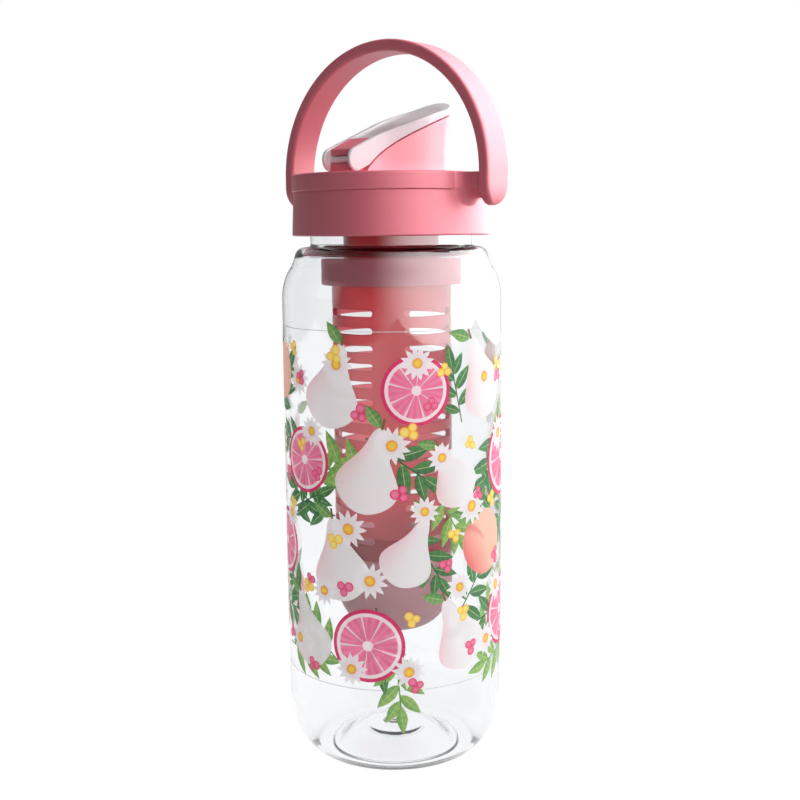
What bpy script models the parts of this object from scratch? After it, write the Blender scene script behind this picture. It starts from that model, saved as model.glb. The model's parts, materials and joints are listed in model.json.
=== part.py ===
"""Infuser water bottle: a clear bottle, a screw lid with a flip spout, a handle and a fruit infuser.

The bottle stands on z = 0 with its axis on +Z. The handle turns about X, and the spout points along +Y.
Lengths are in metres. Heights are worked out upwards from the foot, and the infuser hangs from the lid.
"""

import math

import bmesh
import bpy
from mathutils import Matrix, Vector

MM = 0.001

# Fits
CLEARANCE = 0.3 * MM
ROUND_STEPS = 36
SHARP_ANGLE = math.radians(35.0)

# Bottle
BODY_RADIUS = 37.5 * MM
BODY_WALL = 1.6 * MM
FLOOR_WALL = 2.1 * MM
BODY_HEIGHT = 159.7 * MM
CORNER_WIDTH = 13.5 * MM
CORNER_HEIGHT = 20.6 * MM
FOOT_WIDTH = 2.0 * MM
PUSH_UP_HEIGHT = 7.6 * MM
PUSH_UP_STEP = 1.8 * MM
STEP_RADIUS = 15.5 * MM
NUB_RADIUS = 3.0 * MM
NUB_HEIGHT = 0.7 * MM
SHOULDER_WIDTH = 9.0 * MM
SHOULDER_HEIGHT = 14.1 * MM
SHOULDER_STEP = 4.0 * MM
SHELF_HEIGHT = 5.6 * MM
NECK_RADIUS = 27.5 * MM
NECK_WALL = 2.1 * MM
NECK_LENGTH = 17.5 * MM
BEAD_HEIGHT = 0.7 * MM
BEAD_RISE = 1.8 * MM
LIP_EDGE = 0.5 * MM

# Lid
LID_OVERLAP = 13.7 * MM
GASKET_THICKNESS = 1.4 * MM
LINER_PLATE = 1.8 * MM
LINER_BOSS = 2.0 * MM
LINER_WALL = 1.3 * MM
THREAD_ROOM = 1.8 * MM
SKIRT_WALL = 2.1 * MM
SKIRT_DRAFT = 0.6 * MM
SKIRT_BELOW_LINER = 1.5 * MM
DECK_THICKNESS = 2.0 * MM
DECK_RECESS = 0.6 * MM
COLLAR_HEIGHT = 5.8 * MM
COLLAR_PROUD = 0.5 * MM
COLLAR_RIM = 2.2 * MM
COLLAR_EDGE = 0.8 * MM

# Handle and its ears
EAR_LENGTH = 6.9 * MM
EAR_WIDTH = 10.0 * MM
EAR_FILLET = 4.0 * MM
EAR_TOP_DROP = 0.4 * MM
PIVOT_DROP = 3.7 * MM
PEG_RADIUS = 2.8 * MM
PEG_LENGTH = 5.5 * MM
HANDLE_WIDTH = 10.7 * MM
HANDLE_THICKNESS = 4.0 * MM
HANDLE_EDGE = 1.5 * MM
HANDLE_LEG = 3.7 * MM
HANDLE_TIP = 0.55
HANDLE_TIP_DROP = 7.3 * MM
EDGE_SLOPE = 0.3

# Spout and its flip cover
SPOUT_WIDTH = 12.2 * MM
SPOUT_TIP_WIDTH = 18.2 * MM
SPOUT_KNEE = 29.5 * MM
SPOUT_LENGTH = 49.1 * MM
SPOUT_LEAN = 0.146
SPOUT_WAIST = 9.4 * MM
SPOUT_FOOT_FLARE = 1.6 * MM
SPOUT_FLARE_HEIGHT = 5.5 * MM
SPOUT_SIDE_WALL = 2.6 * MM
SPOUT_BACK_WALL = 2.5 * MM
SPOUT_NOSE = 3.8 * MM
MOUTH_LENGTH = 18.4 * MM
CHANNEL_FLOOR = 2.4 * MM
CHANNEL_HEIGHT = 5.2 * MM
STUB_RADIUS = 5.6 * MM
STUB_WALL = 1.2 * MM
HINGE_BACK = 23.6 * MM
HINGE_HEIGHT = 4.8 * MM
HINGE_BAR_RADIUS = 1.2 * MM
KNUCKLE_RADIUS = 3.8 * MM
KNUCKLE_WIDTH = 1.2 * MM
SADDLE_WRAP = 1.0 * MM
SADDLE_TOP = 2.5 * MM
SADDLE_REACH = 11.0 * MM
SADDLE_SLOPE = 0.46
SEAM_START = (3.4 * MM, -4.1 * MM)
SEAM_SWELL = (17.5 * MM, 9.0 * MM)
SEAM_RISE = 17.7 * MM
RIM_SWELL = (23.5 * MM, 13.8 * MM)
RIM_RISE = 20.0 * MM
COVER_OVERHANG = 0.5 * MM
PLATE_THICKNESS = 1.5 * MM
DISH_DEPTH = 1.9 * MM
DISH_END = 5.5 * MM
DISH_DEEPEST = 0.33
DISH_RIM = 1.4 * MM
PLUG_DEPTH = 2.2 * MM
PLUG_GAP = 0.4 * MM
O_RING_THICKNESS = 1.5 * MM

# Infuser
NECK_PASSAGE = 1.4 * MM
SPIGOT_LENGTH = 29.0 * MM
SPIGOT_WALL = 1.6 * MM
SOCKET_DEPTH = 7.2 * MM
SOCKET_WALL = 1.4 * MM
SOCKET_THREAD_ROOM = 0.7 * MM
SOCKET_LEDGE = 1.4 * MM
INFUSER_GASKET = 0.9 * MM
INFUSER_COLLAR_HEIGHT = 10.4 * MM
INFUSER_COLLAR_WALL = 3.2 * MM
INFUSER_COLLAR_EDGE = 1.0 * MM
COLLAR_TOP_PLATE = 1.5 * MM
BASKET_WALL = 1.5 * MM
BASKET_LENGTH = 101.4 * MM
BASKET_PLAIN_TOP = 17.6 * MM
SLOT_HEIGHT = 2.3 * MM
SLOT_PITCH = 5.95 * MM
BASKET_PLAIN_END = 8.0 * MM
SLOT_COLUMNS = 4
STRIP_ANGLE = math.radians(30.0)
STRIP_START = math.radians(-53.5)
BASKET_FACETS = 28
SLOT_END_STEPS = 2
CUP_NECK_HEIGHT = 6.0 * MM
CUP_WALL = 1.5 * MM
CUP_STRAIGHT = 10.3 * MM
CUP_ROUND_HEIGHT = 16.5 * MM
CUP_FLOOR_RADIUS = 9.0 * MM

# Bottle levels and radii
foot_radius = BODY_RADIUS - CORNER_WIDTH
shelf_radius = BODY_RADIUS - SHOULDER_STEP
shoulder_centre = BODY_RADIUS - SHOULDER_WIDTH
shoulder_sweep = math.acos((shelf_radius - shoulder_centre) / SHOULDER_WIDTH)
shelf_z = BODY_HEIGHT + SHOULDER_HEIGHT * math.sin(shoulder_sweep)
neck_base_z = shelf_z + SHELF_HEIGHT
neck_top_z = neck_base_z + NECK_LENGTH
neck_bore = NECK_RADIUS - NECK_WALL

# Lid levels and radii
skirt_bottom_z = neck_top_z - LID_OVERLAP
gasket_z = neck_top_z + CLEARANCE
plate_z = gasket_z + GASKET_THICKNESS + CLEARANCE
plate_top_z = plate_z + LINER_PLATE
deck_under_z = plate_top_z + CLEARANCE
deck_z = deck_under_z + DECK_THICKNESS
lid_top_z = deck_z + DECK_RECESS
parting_z = lid_top_z - COLLAR_HEIGHT
liner_bore = NECK_RADIUS + THREAD_ROOM
liner_radius = liner_bore + LINER_WALL
skirt_bore = liner_radius + CLEARANCE
skirt_radius = skirt_bore + SKIRT_WALL
lid_collar_radius = skirt_radius + COLLAR_PROUD
deck_radius = lid_collar_radius - COLLAR_RIM
stub_hole = STUB_RADIUS + CLEARANCE
o_ring_radius = stub_hole + O_RING_THICKNESS / 2
o_ring_seat = o_ring_radius + O_RING_THICKNESS / 2 + CLEARANCE
boss_radius = o_ring_seat + BODY_WALL

# Handle places
ear_end = lid_collar_radius + EAR_LENGTH
handle_inner = ear_end + CLEARANCE
pivot_z = lid_top_z - PIVOT_DROP
arch_z = pivot_z + HANDLE_LEG

# Spout places
hinge_y = -HINGE_BACK
hinge_z = deck_z + HINGE_HEIGHT
spout_foot_z = deck_z + CLEARANCE
waist_back = hinge_y + SPOUT_LENGTH
waist_z = deck_z + SPOUT_WAIST
half_spout = SPOUT_WIDTH / 2
half_tip = SPOUT_TIP_WIDTH / 2
arm_gap = half_spout - KNUCKLE_WIDTH
mouth_back = waist_back - SPOUT_BACK_WALL
mouth_half = half_tip - SPOUT_SIDE_WALL
channel_z = deck_z + CHANNEL_FLOOR

# Infuser radii, from the neck inwards
infuser_collar_radius = neck_bore - NECK_PASSAGE
basket_seat = infuser_collar_radius - INFUSER_COLLAR_WALL
basket_radius = basket_seat - CLEARANCE
basket_bore = basket_radius - BASKET_WALL
socket_radius = basket_bore - CLEARANCE
socket_bore = socket_radius - SOCKET_WALL
spigot_radius = socket_bore - SOCKET_THREAD_ROOM - CLEARANCE
spigot_bore = spigot_radius - SPIGOT_WALL

# Infuser levels, from the lid downwards
spigot_end_z = plate_z - SPIGOT_LENGTH
collar_top_z = spigot_end_z + SOCKET_DEPTH
collar_bottom_z = collar_top_z - INFUSER_COLLAR_HEIGHT
infuser_gasket_z = spigot_end_z - CLEARANCE - INFUSER_GASKET
ledge_top_z = infuser_gasket_z - CLEARANCE
basket_top_z = collar_top_z - COLLAR_TOP_PLATE - CLEARANCE
basket_bottom_z = basket_top_z - BASKET_LENGTH
slotted_length = BASKET_LENGTH - BASKET_PLAIN_TOP - BASKET_PLAIN_END - SLOT_HEIGHT
slot_rows = 1 + int(slotted_length / SLOT_PITCH)
cup_rim_z = basket_bottom_z - CLEARANCE
cup_round_z = cup_rim_z - CUP_STRAIGHT
cup_bottom_z = cup_round_z - CUP_ROUND_HEIGHT


def start_scene():
    """Empty the scene and make one collection for the bottle and one for the shapes that cut it."""
    for item in list(bpy.data.objects):
        bpy.data.objects.remove(item, do_unlink=True)
    parts = bpy.data.collections.new("infuser_water_bottle")
    tools = bpy.data.collections.new("cutters")
    bpy.context.scene.collection.children.link(parts)
    bpy.context.scene.collection.children.link(tools)
    return parts, tools


PARTS, CUTTERS = start_scene()


def finish_material(name, colour, roughness, alpha=1.0, transmission=0.0):
    """Return a Principled material, see-through where alpha or transmission says so."""
    material = bpy.data.materials.new(name)
    material.use_nodes = True
    shader = material.node_tree.nodes["Principled BSDF"]
    shader.inputs["Base Color"].default_value = (*colour, 1.0)
    shader.inputs["Roughness"].default_value = roughness
    shader.inputs["Metallic"].default_value = 0.0
    shader.inputs["Transmission Weight"].default_value = transmission
    shader.inputs["Alpha"].default_value = alpha
    material.diffuse_color = (*colour, alpha)
    return material


MATERIALS = {
    "clear": finish_material("clear_tritan", (0.93, 0.95, 0.97), 0.05, 0.35, 0.9),
    "pink": finish_material("satin_pink", (0.80, 0.33, 0.40), 0.42),
    "white": finish_material("satin_white", (0.90, 0.90, 0.92), 0.35),
    "salmon": finish_material("translucent_salmon", (0.86, 0.30, 0.32), 0.25, 0.6, 0.5),
    "frosted": finish_material("frosted_salmon", (0.88, 0.50, 0.52), 0.45, 0.6, 0.4),
    "silicone": finish_material("clear_silicone", (0.88, 0.88, 0.86), 0.5),
}


def place(mesh, name, finish=None):
    """Link a mesh as a named part, or as a hidden cutter where it has no finish."""
    mesh.shade_smooth()
    mesh.set_sharp_from_angle(angle=SHARP_ANGLE)
    item = bpy.data.objects.new(name, mesh)
    if finish is None:
        CUTTERS.objects.link(item)
        item.hide_render = True
        item.display_type = "WIRE"
        return item
    PARTS.objects.link(item)
    mesh.materials.clear()
    mesh.materials.append(MATERIALS[finish])
    return item


def turned(name, profile, finish=None, closed=True):
    """Turn a profile of (radius, height) points about Z; it runs down its outer side."""
    mesh = bpy.data.meshes.new(name)
    points = [(radius, 0.0, height) for radius, height in profile]
    edges = [(index, index + 1) for index in range(len(points) - 1)]
    if closed:
        edges.append((len(points) - 1, 0))
    mesh.from_pydata(points, edges, [])
    item = place(mesh, name, finish)
    screw = item.modifiers.new("turn", "SCREW")
    screw.axis = "Z"
    screw.angle = 2 * math.pi
    screw.steps = ROUND_STEPS
    screw.render_steps = ROUND_STEPS
    screw.use_smooth_shade = True
    screw.use_merge_vertices = True
    screw.merge_threshold = 0.00001
    return item


def ring_profile(inner, outer, low, high):
    """A plain ring's closed profile, running down its outer side."""
    return [(outer, high), (outer, low), (inner, low), (inner, high)]


def ellipse_arc(centre, width, height, start, end, count):
    """Points on an ellipse from one angle to another, in degrees, ends included."""
    points = []
    for index in range(count + 1):
        angle = math.radians(start + (end - start) * index / count)
        points.append((centre[0] + width * math.cos(angle), centre[1] + height * math.sin(angle)))
    return points


def bezier(start, swell, end, count):
    """Points on a curve that leaves its start towards the swell point and arrives from it."""
    points = []
    for index in range(count + 1):
        t = index / count
        along = (1 - t) ** 2 * start[0] + 2 * t * (1 - t) * swell[0] + t ** 2 * end[0]
        up = (1 - t) ** 2 * start[1] + 2 * t * (1 - t) * swell[1] + t ** 2 * end[1]
        points.append((along, up))
    return points


def height_on(points, along):
    """The height of a left-to-right row of points at one place along it."""
    for (y0, z0), (y1, z1) in zip(points, points[1:]):
        if y0 <= along <= y1:
            return z0 + (z1 - z0) * (along - y0) / (y1 - y0)
    return points[0][1] if along < points[0][0] else points[-1][1]


def shifted(points, along, up):
    """The same points moved along and up."""
    return [(y + along, z + up) for y, z in points]


def flat_outline(name, loops, thickness):
    """A mesh plate from closed loops; loops inside the first are holes. It lies in XY, centred on z = 0."""
    curve = bpy.data.curves.new(name, "CURVE")
    curve.dimensions = "2D"
    curve.fill_mode = "BOTH"
    curve.extrude = thickness / 2
    for loop in loops:
        spline = curve.splines.new("POLY")
        spline.points.add(len(loop) - 1)
        for point, (across, up) in zip(spline.points, loop):
            point.co = (across, up, 0.0, 1.0)
        spline.use_cyclic_u = True
    guide = bpy.data.objects.new(name + "_outline", curve)
    CUTTERS.objects.link(guide)
    graph = bpy.context.evaluated_depsgraph_get()
    mesh = bpy.data.meshes.new_from_object(guide.evaluated_get(graph), depsgraph=graph)
    bpy.data.objects.remove(guide, do_unlink=True)
    shape = bmesh.new()
    shape.from_mesh(mesh)
    bmesh.ops.remove_doubles(shape, verts=shape.verts, dist=0.000001)
    bmesh.ops.dissolve_limit(shape, angle_limit=0.01, verts=shape.verts, edges=shape.edges)
    bmesh.ops.recalc_face_normals(shape, faces=shape.faces)
    shape.to_mesh(mesh)
    shape.free()
    return mesh


def side_plate(name, outline, width, finish=None):
    """A plate whose outline is drawn in the YZ plane, as seen from +X, centred on x = 0."""
    mesh = flat_outline(name, [outline], width)
    turn = Matrix(((0, 0, 1, 0), (1, 0, 0, 0), (0, 1, 0, 0), (0, 0, 0, 1)))
    mesh.transform(turn)
    return place(mesh, name, finish)


def plan_plate(name, outline, low, high, finish=None):
    """A plate whose outline is drawn in plan, standing from one height to another."""
    mesh = flat_outline(name, [outline], high - low)
    mesh.transform(Matrix.Translation((0.0, 0.0, (low + high) / 2)))
    return place(mesh, name, finish)


def cross_pin(name, radius, x0, x1, y, z, steps=24, finish=None):
    """A round bar along X from x0 to x1."""
    shape = bmesh.new()
    length = x1 - x0
    bmesh.ops.create_cone(shape, cap_ends=True, segments=steps, radius1=radius, radius2=radius, depth=length)
    turn = Matrix.Rotation(math.pi / 2, 4, "Y")
    bmesh.ops.transform(shape, matrix=Matrix.Translation(((x0 + x1) / 2, y, z)) @ turn, verts=shape.verts)
    mesh = bpy.data.meshes.new(name)
    shape.to_mesh(mesh)
    shape.free()
    return place(mesh, name, finish)


def upright_pin(name, radius, low, high, finish=None):
    """A round bar on the bottle's axis from one height to another."""
    shape = bmesh.new()
    bmesh.ops.create_cone(
        shape, cap_ends=True, segments=ROUND_STEPS, radius1=radius, radius2=radius, depth=high - low
    )
    bmesh.ops.translate(shape, vec=(0.0, 0.0, (low + high) / 2), verts=shape.verts)
    mesh = bpy.data.meshes.new(name)
    shape.to_mesh(mesh)
    shape.free()
    return place(mesh, name, finish)


def loft(name, rings, finish=None):
    """Skin a row of rings with the same number of points each, and close both ends."""
    shape = bmesh.new()
    rows = [[shape.verts.new(point) for point in ring] for ring in rings]
    for row, following in zip(rows, rows[1:]):
        for index in range(len(row)):
            after = (index + 1) % len(row)
            shape.faces.new((row[index], row[after], following[after], following[index]))
    shape.faces.new(list(reversed(rows[0])))
    shape.faces.new(rows[-1])
    bmesh.ops.recalc_face_normals(shape, faces=shape.faces)
    mesh = bpy.data.meshes.new(name)
    shape.to_mesh(mesh)
    shape.free()
    return place(mesh, name, finish)


def combine(item, tool, operation):
    """Cut, join or trim a part with another shape."""
    modifier = item.modifiers.new(tool.name, "BOOLEAN")
    modifier.operation = operation
    modifier.object = tool
    modifier.solver = "EXACT"
    return item


def keep_side(item, height, keep_above):
    """Cut a lofted mesh level at a height and close the cut."""
    shape = bmesh.new()
    shape.from_mesh(item.data)
    cut = bmesh.ops.bisect_plane(
        shape,
        geom=list(shape.verts) + list(shape.edges) + list(shape.faces),
        plane_co=(0.0, 0.0, height),
        plane_no=(0.0, 0.0, 1.0),
        clear_inner=keep_above,
        clear_outer=not keep_above,
    )
    rim = [element for element in cut["geom_cut"] if isinstance(element, bmesh.types.BMEdge)]
    bmesh.ops.contextual_create(shape, geom=rim)
    bmesh.ops.recalc_face_normals(shape, faces=shape.faces)
    shape.to_mesh(item.data)
    shape.free()
    return item


# Bottle


def base_underside():
    """The pushed-up base from the foot ring inwards: a ramp, a step and the moulding nub."""
    ramp_top = PUSH_UP_HEIGHT - PUSH_UP_STEP
    ramp_run = foot_radius - FOOT_WIDTH - STEP_RADIUS
    points = [(foot_radius - FOOT_WIDTH, 0.0)]
    for index in range(1, 4):
        share = index / 3
        rise = ramp_top * math.sin(share * math.pi / 2)
        points.append((foot_radius - FOOT_WIDTH - ramp_run * share, rise))
    points.append((STEP_RADIUS - PUSH_UP_STEP / 2, PUSH_UP_HEIGHT))
    points.append((NUB_RADIUS + NUB_HEIGHT, PUSH_UP_HEIGHT + NUB_HEIGHT))
    points.append((NUB_RADIUS, PUSH_UP_HEIGHT + 2 * NUB_HEIGHT))
    points.append((0.0, PUSH_UP_HEIGHT + 2 * NUB_HEIGHT))
    return points


def bottle_body():
    """The blown bottle: one turned wall with an open mouth, a stepped shoulder and a pushed-up base."""
    sweep = math.degrees(shoulder_sweep)
    outer = [(NECK_RADIUS - LIP_EDGE, neck_top_z), (NECK_RADIUS, neck_top_z - LIP_EDGE)]
    bead_z = neck_base_z + BEAD_RISE
    outer += [(NECK_RADIUS, bead_z + BEAD_HEIGHT), (NECK_RADIUS + BEAD_HEIGHT, bead_z)]
    outer += [(NECK_RADIUS, bead_z - BEAD_HEIGHT)]
    shelf_width = shelf_radius - NECK_RADIUS - BEAD_HEIGHT
    outer += ellipse_arc((NECK_RADIUS + BEAD_HEIGHT, shelf_z), shelf_width, SHELF_HEIGHT, 90, 0, 4)
    outer += ellipse_arc((shoulder_centre, BODY_HEIGHT), SHOULDER_WIDTH, SHOULDER_HEIGHT, sweep, 0, 3)[1:]
    outer += ellipse_arc((foot_radius, CORNER_HEIGHT), CORNER_WIDTH, CORNER_HEIGHT, 0, -90, 6)
    underside = base_underside()
    floor = [(radius, height + FLOOR_WALL) for radius, height in reversed(underside)]
    inner_corner = (CORNER_WIDTH - BODY_WALL, CORNER_HEIGHT - FLOOR_WALL)
    inner = floor + ellipse_arc((foot_radius, CORNER_HEIGHT), *inner_corner, -90, 0, 5)
    inner_shoulder = (SHOULDER_WIDTH - BODY_WALL, SHOULDER_HEIGHT - BODY_WALL)
    inner_sweep = math.degrees(math.acos((shelf_radius - BODY_WALL - shoulder_centre) / inner_shoulder[0]))
    inner += ellipse_arc((shoulder_centre, BODY_HEIGHT), *inner_shoulder, 0, inner_sweep, 3)
    inner_shelf = (shelf_radius - BODY_WALL - neck_bore, SHELF_HEIGHT - BODY_WALL)
    inner += ellipse_arc((neck_bore, shelf_z), *inner_shelf, 0, 90, 3)
    inner += [(neck_bore, neck_top_z - LIP_EDGE), (neck_bore + LIP_EDGE, neck_top_z)]
    return turned("bottle_body", inner + outer + underside, "clear", closed=False)


# Lid


def pivot_ear(name, side):
    """An ear for the handle's peg: a U-shaped boss that flares into the round lid with a hollow fillet."""
    reach = ear_end - skirt_radius
    ear_top = lid_top_z - EAR_TOP_DROP
    stations = [skirt_bore + CLEARANCE - skirt_radius]
    stations += [EAR_FILLET * share for share in (0.0, 0.06, 0.15, 0.3, 0.5, 0.75, 1.0)]
    stations.append(reach)
    rings = []
    for out in stations:
        inward = max(0.0, min(EAR_FILLET, EAR_FILLET - out))
        flare = EAR_FILLET - math.sqrt(EAR_FILLET ** 2 - inward ** 2)
        flat = 1.0 if out < 0.0 else min(1.0, out / EAR_FILLET)
        half = EAR_WIDTH / 2 + flare
        outline = ellipse_arc((0.0, pivot_z), half, half, 180, 360, 10)
        outline += [(half, ear_top), (-half, ear_top)]
        ring = []
        for y, z in outline:
            on_lid = math.sqrt(skirt_radius ** 2 - y ** 2)
            ring.append((side * (out + on_lid + (skirt_radius - on_lid) * flat), y, z))
        rings.append(ring)
    return loft(name, rings)


def add_ears(item, cut_z, keep_above):
    """Join both ears to a lid ring, each cut level at the parting line and bored for the handle's peg."""
    for side, label in ((1, "_ear_right"), (-1, "_ear_left")):
        ear = keep_side(pivot_ear(item.name + label, side), cut_z, keep_above)
        ends = sorted((side * (ear_end - PEG_LENGTH), side * (ear_end + EAR_FILLET)))
        bore = cross_pin(item.name + label + "_bore", PEG_RADIUS + CLEARANCE, *ends, 0.0, pivot_z)
        combine(ear, bore, "DIFFERENCE")
        combine(item, ear, "UNION")
    return item


def lid_cap():
    """The lid's skirt with the lower halves of the ears."""
    top = parting_z - CLEARANCE / 2
    bottom_radius = skirt_radius + SKIRT_DRAFT
    profile = [(skirt_radius, top), (bottom_radius, skirt_bottom_z)]
    profile += [(skirt_bore, skirt_bottom_z), (skirt_bore, top)]
    return add_ears(turned("lid_cap", profile, "pink"), top, keep_above=False)


def lid_collar():
    """The lid's top: a rim ring, a sunk deck with the spout's hole, and the upper halves of the ears."""
    bottom = parting_z + CLEARANCE / 2
    profile = [(lid_collar_radius - COLLAR_EDGE, lid_top_z), (lid_collar_radius, lid_top_z - COLLAR_EDGE)]
    profile += [(lid_collar_radius, bottom), (skirt_bore, bottom), (skirt_bore, deck_under_z)]
    profile += [(stub_hole, deck_under_z), (stub_hole, deck_z), (deck_radius, deck_z)]
    profile += [(deck_radius + DECK_RECESS / 2, lid_top_z)]
    return add_ears(turned("lid_collar", profile, "pink"), bottom, keep_above=True)


def lid_liner():
    """The translucent inner lid: threaded wall, sealing plate, O-ring seat and the infuser's spigot."""
    wall_low = skirt_bottom_z + SKIRT_BELOW_LINER
    seat_z = plate_top_z - O_RING_THICKNESS - CLEARANCE / 2
    boss_z = plate_z - LINER_BOSS
    profile = [(liner_radius, plate_top_z), (liner_radius, wall_low), (liner_bore, wall_low)]
    profile += [(liner_bore, plate_z), (spigot_radius, plate_z), (spigot_radius, spigot_end_z)]
    profile += [(spigot_bore, spigot_end_z), (spigot_bore, plate_z), (boss_radius, plate_z)]
    profile += [(boss_radius, boss_z), (stub_hole, boss_z), (stub_hole, seat_z)]
    profile += [(o_ring_seat, seat_z), (o_ring_seat, plate_top_z)]
    return turned("lid_liner", profile, "salmon")


def lid_gasket():
    """The silicone ring between the bottle's lip and the liner."""
    top = gasket_z + GASKET_THICKNESS
    profile = ring_profile(neck_bore + CLEARANCE, liner_bore - CLEARANCE, gasket_z, top)
    return turned("lid_gasket", profile, "silicone")


def spout_o_ring():
    """The O-ring that seals the spout's stub in the liner."""
    seat_z = plate_top_z - O_RING_THICKNESS - CLEARANCE / 2
    low = seat_z + CLEARANCE
    high = deck_under_z - CLEARANCE
    centre = (o_ring_radius, (low + high) / 2)
    profile = ellipse_arc(centre, O_RING_THICKNESS / 2, (high - low) / 2, 90, -270, 6)[:-1]
    return turned("spout_o_ring", profile, "silicone")


# Handle


def carry_handle():
    """The strap handle: a flat-backed, round-edged band over the lid, with a peg at each end."""
    half = HANDLE_WIDTH / 2
    path = []
    for angle in (80, 60, 40, 20, 0):
        drop = HANDLE_TIP_DROP * math.sin(math.radians(angle))
        path.append((handle_inner, pivot_z - drop, 0.0, half * math.cos(math.radians(angle))))
    for index in range(33):
        angle = math.pi * index / 32
        path.append((handle_inner * math.cos(angle), arch_z + handle_inner * math.sin(angle), angle, half))
    for angle in (0, 20, 40, 60, 80):
        drop = HANDLE_TIP_DROP * math.sin(math.radians(angle))
        path.append((-handle_inner, pivot_z - drop, math.pi, half * math.cos(math.radians(angle))))
    rings = []
    for x, z, lean, breadth in path:
        edge = min(HANDLE_EDGE, breadth / 2)
        depth = HANDLE_THICKNESS * (HANDLE_TIP + (1 - HANDLE_TIP) * breadth / half)
        slope = EDGE_SLOPE * edge
        section = [(0.0, -breadth), (depth - edge, -breadth), (depth - slope, -breadth + slope)]
        section += [(depth, -breadth + edge), (depth, breadth - edge)]
        section += [(depth - slope, breadth - slope), (depth - edge, breadth), (0.0, breadth)]
        rings.append([(x + out * math.cos(lean), y, z + out * math.sin(lean)) for out, y in section])
    handle = loft("carry_handle", rings, "pink")
    for side, label in ((1, "right"), (-1, "left")):
        ends = sorted((side * (handle_inner - PEG_LENGTH), side * (handle_inner + HANDLE_THICKNESS / 2)))
        peg = cross_pin("handle_peg_" + label, PEG_RADIUS, *ends, 0.0, pivot_z)
        combine(handle, peg, "UNION")
    return handle


# Spout and flip cover


def seam_curve():
    """The line where the white cover meets the pink spout, in (y, z), from the nose to past the back."""
    end = (SPOUT_LENGTH + 2 * MM, SEAM_RISE)
    return shifted(bezier(SEAM_START, SEAM_SWELL, end, 14), hinge_y, hinge_z)


def rim_curve():
    """The cover's upper rim, tangent to the knuckle at the nose and rising to the lip."""
    slope = math.atan2(RIM_SWELL[1] - KNUCKLE_RADIUS, RIM_SWELL[0])
    start = (-KNUCKLE_RADIUS * math.sin(slope), KNUCKLE_RADIUS * math.cos(slope))
    end = (SPOUT_LENGTH + 2 * MM, RIM_RISE)
    return shifted(bezier(start, RIM_SWELL, end, 10), hinge_y, hinge_z)


def slot_outline(front, back, half):
    """A plan outline with a round back and a round front."""
    ends = ellipse_arc((0.0, back - half), half, half, 0, 180, 8)
    return ends + ellipse_arc((0.0, front + half), half, half, 180, 360, 8)


def wedge_plan(back, front, grow=0.0):
    """The plan of spout and cover: a narrow nose, flanks that widen as far as the knee, and a round back."""
    half = half_tip + grow
    nose = half_spout + grow
    outline = ellipse_arc((0.0, back - half), half, half, 0, 180, 14)
    outline += [(-half, hinge_y + SPOUT_KNEE), (-nose, hinge_y + SPOUT_NOSE), (-nose, front)]
    outline += [(nose, front), (nose, hinge_y + SPOUT_NOSE), (half, hinge_y + SPOUT_KNEE)]
    return outline


def spout_shell():
    """The wedge's outside: upright flanks, a round back that leans out above its waist, a flared foot."""
    top = hinge_z + RIM_RISE + SPOUT_NOSE
    heights = [spout_foot_z]
    heights += [deck_z + SPOUT_FLARE_HEIGHT * share for share in (0.15, 0.3, 0.5, 0.75, 1.0)]
    heights += [waist_z, top]
    rings = []
    for z in heights:
        left = max(0.0, 1.0 - (z - deck_z) / SPOUT_FLARE_HEIGHT)
        flare = SPOUT_FOOT_FLARE * left ** 2
        back = waist_back + flare + SPOUT_LEAN * max(0.0, z - waist_z)
        outline = wedge_plan(back, hinge_y + SPOUT_NOSE - CLEARANCE, flare / 2)
        rings.append([(x, y, z) for x, y in outline])
    return loft("spout_body", rings, "pink")


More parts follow.
